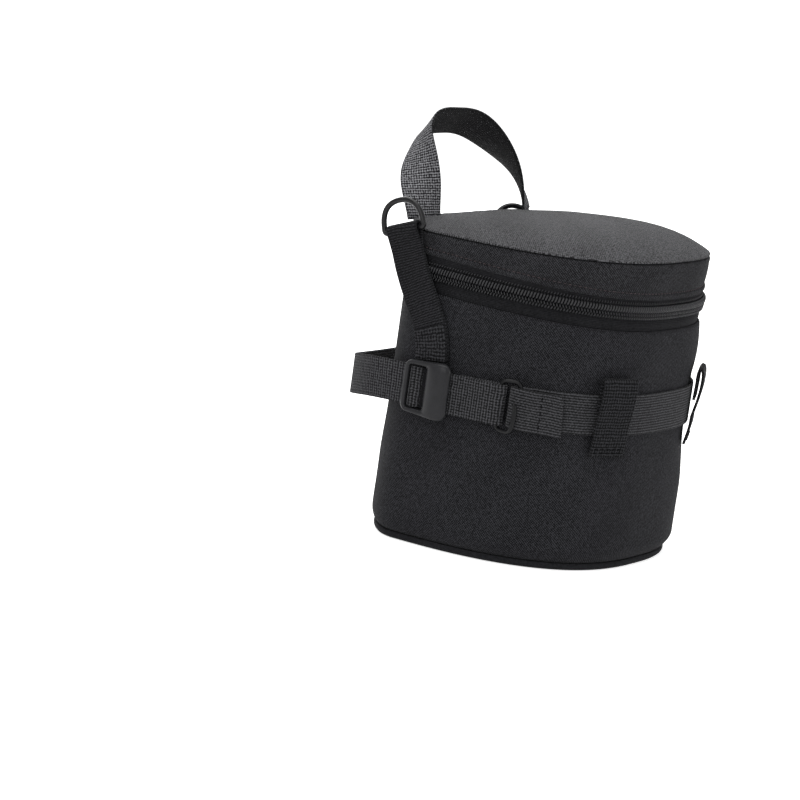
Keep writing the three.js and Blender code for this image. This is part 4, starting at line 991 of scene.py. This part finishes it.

# Handle: one length of webbing, painted pale on one face as if lit and dark with painted shade on the other,
# sewn to the lid's rear edge at both feet. It stands up as an arch that leans back and to the left and twists,
# with its feet in the lid's cloth.
LEAN, SPAN, HEIGHT = math.radians(15.8), 49.2, 48
SIDEWAYS, SKEW, SWAY = 16.6, 13.5, 4.5
FEET_TWIST, TOP_TWIST, SKEW_TWIST = 69.4, 31.5, 13.2
FEET_X, FEET = 1.5, (0, 56.5, 152.1)
# Painted light: the colour is raised to the pale of the lit face, and painted shade darkens the other face.
handle_painted_light = cloth("webbing_handle_painted_light", (0.0880, 0.0880, 0.0930), 1.25, "grid", 0.36, 0.02, spread=1.4,
                   speck=2.4, painted_face_shade=-1.1)


def handle():
    """The arch is a superellipse of power 3 in a leaning plane. The sine of the angle moves it sideways, the
    sine of twice the angle skews and sways it, and the width turns about it from the feet to the top."""
    lean_up = np.array([0, math.sin(LEAN), math.cos(LEAN)])
    flat = np.array([0, -math.cos(LEAN), math.sin(LEAN)])
    angle = np.linspace(0, math.pi, 181)
    rise = np.abs(np.sin(angle)) ** (2 / 3)
    c, twice = np.cos(angle), np.sin(2 * angle)
    x = FEET_X - SPAN * np.sign(c) * np.abs(c) ** (2 / 3) - SIDEWAYS * np.sin(angle) + SKEW * twice
    centres = np.outer(x, [1, 0, 0]) + np.outer(SWAY * twice, [0, 1, 0])
    centres = centres + np.outer(HEIGHT * rise, lean_up) + FEET
    tangent = unit(np.gradient(centres, axis=0))
    turn = np.radians(FEET_TWIST * (1 - ease(rise)) - TOP_TWIST * np.sin(angle) - SKEW_TWIST * twice)[:, None]
    widths = flat * np.cos(turn) + np.cross(tangent, flat) * np.sin(turn)
    obj = webbing("handle_webbing", centres, widths, handle_painted_light, None, ["handle"])
    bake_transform(obj)


handle()

# Stitching: short threads that bow up between two holes. A pale row runs in the groove of the lid's band, and
# black rows hold the waist strap's fold, the attachment loops and the ring tabs.
THREAD_SHARE, THREAD_LIFT, STITCH_Z = 0.785, 0.12, 3.4
TAIL_S, TAIL_HALF, SEAM_HALF = -76.0, 8.6, 8.8


def threads(name, lines, body, material, length, space, radius):
    """Stitches along lines, each given as points and outward directions: a half wave up between their ends,
    thin at both."""
    bow = np.sin(np.linspace(0, np.pi, 5))[:, None]
    stitches = []
    for line, outs in lines:
        run = lengths(line)
        count = max(int(run[-1] // (length + space)), 1)
        pitch = run[-1] / count
        for i in range(count):
            at = np.linspace(i * pitch + space / 2, (i + 1) * pitch - space / 2, len(bow))
            out = unit(read_line(at, run, outs))
            p = read_line(at, run, line) + out * (THREAD_LIFT + radius * 1.1 * bow - radius * 0.5)
            side = np.cross(unit(np.gradient(p, axis=0)), out)
            ring_points, faces, _ = lattice(hoops(p, out, side, radius * (0.35 + 0.65 * bow[:, 0]), 6))
            stitches.append((ring_points, outward(ring_points, faces)))
    points, faces = gathered(stitches)
    make(name, points, faces, points[:, :2], material, body, [])


def across_line(centre, way, out, half):
    """Straight line of points through a centre, with one outward direction."""
    line = centre + way * np.linspace(-1, 1, 24)[:, None] * half
    return line, np.tile(out, (len(line), 1))


stitch_shares = np.linspace(-THREAD_SHARE, THREAD_SHARE, 500)
stitch_z = band_edge(wall_y(stitch_shares)) + STITCH_Z
band_line = wall(stitch_shares, -band_swell(stitch_shares, stitch_z), stitch_z)
band_outs = level(frame_at(stitch_shares * GIRTH)[2])
thread_grey = cloth("thread_light", (0.060, 0.045, 0.048), 0.4, "across", 0.05, 0.1, rough=0.6)
threads("lid_band_stitches", [(band_line, band_outs)], "lid", thread_grey, 1.7, 0.8, 0.2)

away = level(frame_at(TAIL_S)[2])
tail = waist[-14:]
nearest = np.argmin(np.linalg.norm(tail - on_wall(TAIL_S, STRAP_OVER + 1.0, STRAP_Z), axis=1))
strap_lines = [across_line(tail[nearest] + away * (WEB / 2), UP, away, TAIL_HALF)]
for centres, across, out in loop_lines:
    for z in (59.3, 61.6):
        i = np.argmin(np.abs(centres[:len(centres) // 2, 2] - z))
        strap_lines.append(across_line(centres[i] + out * WEB / 2, across, out, SEAM_HALF))
for (*_, outer, leaf), outs in ((left_tab, left_outs), (right_tab, right_outs)):
    for row, up in ((0, 1.8), (2, 0)):
        way = unit(-leaf[row])
        step = unit(outer[row + 1] - outer[max(row - 1, 0)])
        out = np.cross(step, way)
        out = out if np.dot(out, outs[row]) > 0 else -out
        strap_lines.append(across_line(outer[row] + out * WEB / 2 + step * up, way, out, SEAM_HALF))
thread_black = cloth("thread", (0.0025, 0.0025, 0.0028), 0.4, "across", 0.05, 0.0, rough=0.7)
threads("strap_stitches", strap_lines, "case", thread_black, 2.4, 1.0, 0.3)

# Floor: a plain pale sheet just under the base. It glows only for rays from the camera and for those mirrored
# or let through, so that its glow lights no cloth and the pouch's shadow stays on it.
FLOOR_HALF, FLOOR_Z, FLOOR_GLOW = 14.0, -0.0006, 0.72


def seen_share(tree):
    """1 for rays from the camera and for those mirrored or let through by metal and glass, else 0."""
    rays = tree.nodes.new("ShaderNodeLightPath")
    total = Value(tree, rays.outputs["Is Camera Ray"]) + Value(tree, rays.outputs["Is Glossy Ray"])
    total = total + Value(tree, rays.outputs["Is Transmission Ray"])
    return total.math("MINIMUM", 1.0)


floor_pale, tree, shader = start("floor_pale")
shader.inputs["Base Color"].default_value = (0.9, 0.9, 0.9, 1)
shader.inputs["Roughness"].default_value = 0.9
shader.inputs["Emission Color"].default_value = (1, 1, 1, 1)
tree.links.new((seen_share(tree) * FLOOR_GLOW).socket, shader.inputs["Emission Strength"])
floor_mesh = bpy.data.meshes.new("floor")
around = ((-1, -1), (1, -1), (1, 1), (-1, 1))
floor_mesh.from_pydata([(FLOOR_HALF * x, FLOOR_HALF * y, FLOOR_Z) for x, y in around], [], [(0, 1, 2, 3)])
floor_mesh.materials.append(floor_pale)
floor = bpy.data.objects.new("floor", floor_mesh)
bpy.context.scene.collection.objects.link(floor)


# Light: four soft lamps, the strongest overhead, and a world that is white where it is seen and grey as a
# light. The lamps' places and sizes are in metres.
def softbox(name, place, target, size, power):
    """Rectangular lamp at a place, turned to a target."""
    light = bpy.data.lights.new(name, "AREA")
    light.shape = "RECTANGLE"
    light.size, light.size_y = size
    light.energy = power
    obj = bpy.data.objects.new(name, light)
    bpy.context.scene.collection.objects.link(obj)
    obj.location = place
    obj.rotation_mode = "QUATERNION"
    obj.rotation_quaternion = (Vector(target) - Vector(place)).to_track_quat("-Z", "Y")


softbox("overhead", (-0.1, 0.15, 1.3), (0, 0, 0.1), (1.1, 1.1), 17)
softbox("left_key", (-1.3, -0.25, 0.75), (0, 0, 0.1), (0.9, 0.9), 9)
softbox("front_fill", (0.1, -1.5, 0.5), (0, 0, 0.08), (1.0, 0.8), 7)
softbox("rear_rim", (0.9, 0.9, 0.7), (0, 0, 0.1), (0.7, 0.7), 7)

SKY = 0.42
world = bpy.data.worlds.new("studio")
bpy.context.scene.world = world
world.use_nodes = True
background = world.node_tree.nodes["Background"]
background.inputs["Color"].default_value = (1, 1, 1, 1)
strength = seen_share(world.node_tree) * (1.0 - SKY) + SKY
world.node_tree.links.new(strength.socket, background.inputs["Strength"])

# Camera, fitted to the photograph: its direction from the pouch, roll, lens and distance, and the pixel
# where a known point of the case falls.
AZ, EL, ROLL = math.radians(-60.8875), math.radians(10.0907), math.radians(8.3868)
F_PX, DIST, FRAME_PX = 3342.96, 1669.28 * MM, 800.0
ANCHOR, ANCHOR_PX = Vector((0, 0.00623, 0.0762)), (538.458, 383.480)
UPRIGHT = Vector((0, 0, 1))

back = Vector((math.sin(AZ) * math.cos(EL), -math.cos(AZ) * math.cos(EL), math.sin(EL)))
right = (-back).cross(UPRIGHT).normalized()
up = right.cross(-back)
rolled = right * math.cos(ROLL) + up * math.sin(ROLL), -right * math.sin(ROLL) + up * math.cos(ROLL), -back
seen = Vector(((ANCHOR_PX[0] - FRAME_PX / 2) / F_PX, (FRAME_PX / 2 - ANCHOR_PX[1]) / F_PX, 1)).normalized()
turn = UPRIGHT.rotation_difference(seen).to_matrix()
x, y, forward = (turn[k][0] * rolled[0] + turn[k][1] * rolled[1] + turn[k][2] * rolled[2] for k in range(3))
lens = bpy.data.cameras.new("camera")
lens.sensor_width = 36.0
lens.lens = F_PX / FRAME_PX * lens.sensor_width
lens.clip_start, lens.clip_end = 0.05, 60
camera = bpy.data.objects.new("camera", lens)
bpy.context.scene.collection.objects.link(camera)
turned = Matrix((x, y, -forward)).transposed().to_4x4()
camera.matrix_world = Matrix.Translation(ANCHOR + back * DIST) @ turned
bpy.context.scene.camera = camera
bpy.context.scene.view_settings.view_transform = "Standard"
bpy.context.scene.view_settings.look = "None"
